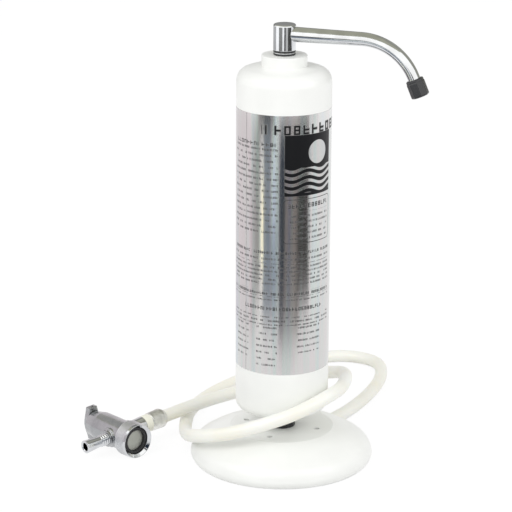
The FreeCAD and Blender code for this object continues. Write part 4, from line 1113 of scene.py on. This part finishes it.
class AddLever(Operator):
    """Add the winged lever and its screw"""

    bl_idname = "water_filter.add_lever"
    bl_label = "Lever"

    def execute(self, context):
        piece("lever_winged", [lever_wings()], "cast", "lever", "lever")
        screw = [(0, -55.6), (1.5, -55.6), (1.5, -63.1), (3.2, -63.1), (3.2, -64.2, 0.5), (0, -64.7)]
        turned("lever_screw_domed", screw, "steel", "lever_screw", VALVE, 48, "lever")
        return {"FINISHED"}


class AddHoseEnd(Operator):
    """Add the white sleeve and the knurled nut at the hose's end"""

    bl_idname = "water_filter.add_hose_end"
    bl_label = "Hose end"

    def execute(self, context):
        sizes = context.scene.water_filter_sizes
        teeth, outer = sizes.hose_nut_teeth, 7.8
        sleeve = [(4.05, 24.8), (7.1, 24.8, 0.6), (7.4, 26.2, 0.5), (7.4, 31.3, 0.3), (4.05, 31.3)]
        turned("tail_sleeve", sleeve, "sleeve", "hose_sleeve", HOSE_SIDE)
        nut = [(4.05, 31.3), (7, 31.3, 0.3), (outer, 32, 0.4), (8.3, 44, 2.2), (6.4, 47.2, 0.6), (4.05, 47.2)]
        form = {"step": 0.16, "swell": knurl(outer, teeth, sizes.knurl_depth / MM, 1.25, 32.6, 42.0)}
        turned("hose_nut_knurled", nut, "satin", "hose_nut", HOSE_SIDE, teeth * 10, **form)
        return {"FINISHED"}


class FinishInside(Operator):
    """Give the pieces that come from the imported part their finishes"""

    bl_idname = "water_filter.finish_inside"
    bl_label = "Inner pieces"

    def execute(self, context):
        chosen = {
            "white": ("canister_tube", "inlet_elbow", "elbow_nut", "pivot"),
            "black": ("under_nut", "valve_gland"),
            "rubber": ("pivot_seal", "spindle_seal"),
            "steel": ("retaining_ring", "swivel_clip"),
            "sleeve": ("valve_spindle",),
            "felt": ("lower_pad", "divider_pad", "upper_pad"),
            "metal_grains": ("metal_bed",),
            "carbon": ("carbon_bed",),
        }
        for finish, nodes in chosen.items():
            for node in nodes:
                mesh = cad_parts[node].data
                mesh.materials.clear()
                mesh.materials.append(FINISHES[finish])
        return {"FINISHED"}


class FilterPanel(Panel):
    """Sizes, colours and operators of the filter"""

    bl_idname = "VIEW3D_PT_water_filter"
    bl_label = "Water filter"
    bl_space_type = "VIEW_3D"
    bl_region_type = "UI"
    bl_category = "Water filter"

    def draw(self, context):
        for group in (context.scene.water_filter_sizes, context.scene.water_filter_colours):
            box = self.layout.box()
            for name in group.__annotations__:
                box.prop(group, name)
        for operator in OPERATORS:
            self.layout.operator(operator.bl_idname)


OPERATORS = (
    AddStage, AddBase, AddCanister, AddLabel, AddSpout, AddValve, AddSwivelNut, AddLever, AddHoseEnd,
    AddHose, FinishInside,
)
CLASSES = (FilterSizes, FilterColours, *OPERATORS, FilterPanel)


def register():
    for item in CLASSES:
        bpy.utils.register_class(item)
    bpy.types.Scene.water_filter_sizes = PointerProperty(type=FilterSizes)
    bpy.types.Scene.water_filter_colours = PointerProperty(type=FilterColours)


def unregister():
    del bpy.types.Scene.water_filter_colours
    del bpy.types.Scene.water_filter_sizes
    for item in reversed(CLASSES):
        bpy.utils.unregister_class(item)


def main():
    register()
    make_finishes()
    bpy.context.scene.view_settings.view_transform = "Standard"
    for operator in OPERATORS:
        getattr(bpy.ops.water_filter, operator.bl_idname.split(".")[1])()


if __name__ == "__main__":
    main()
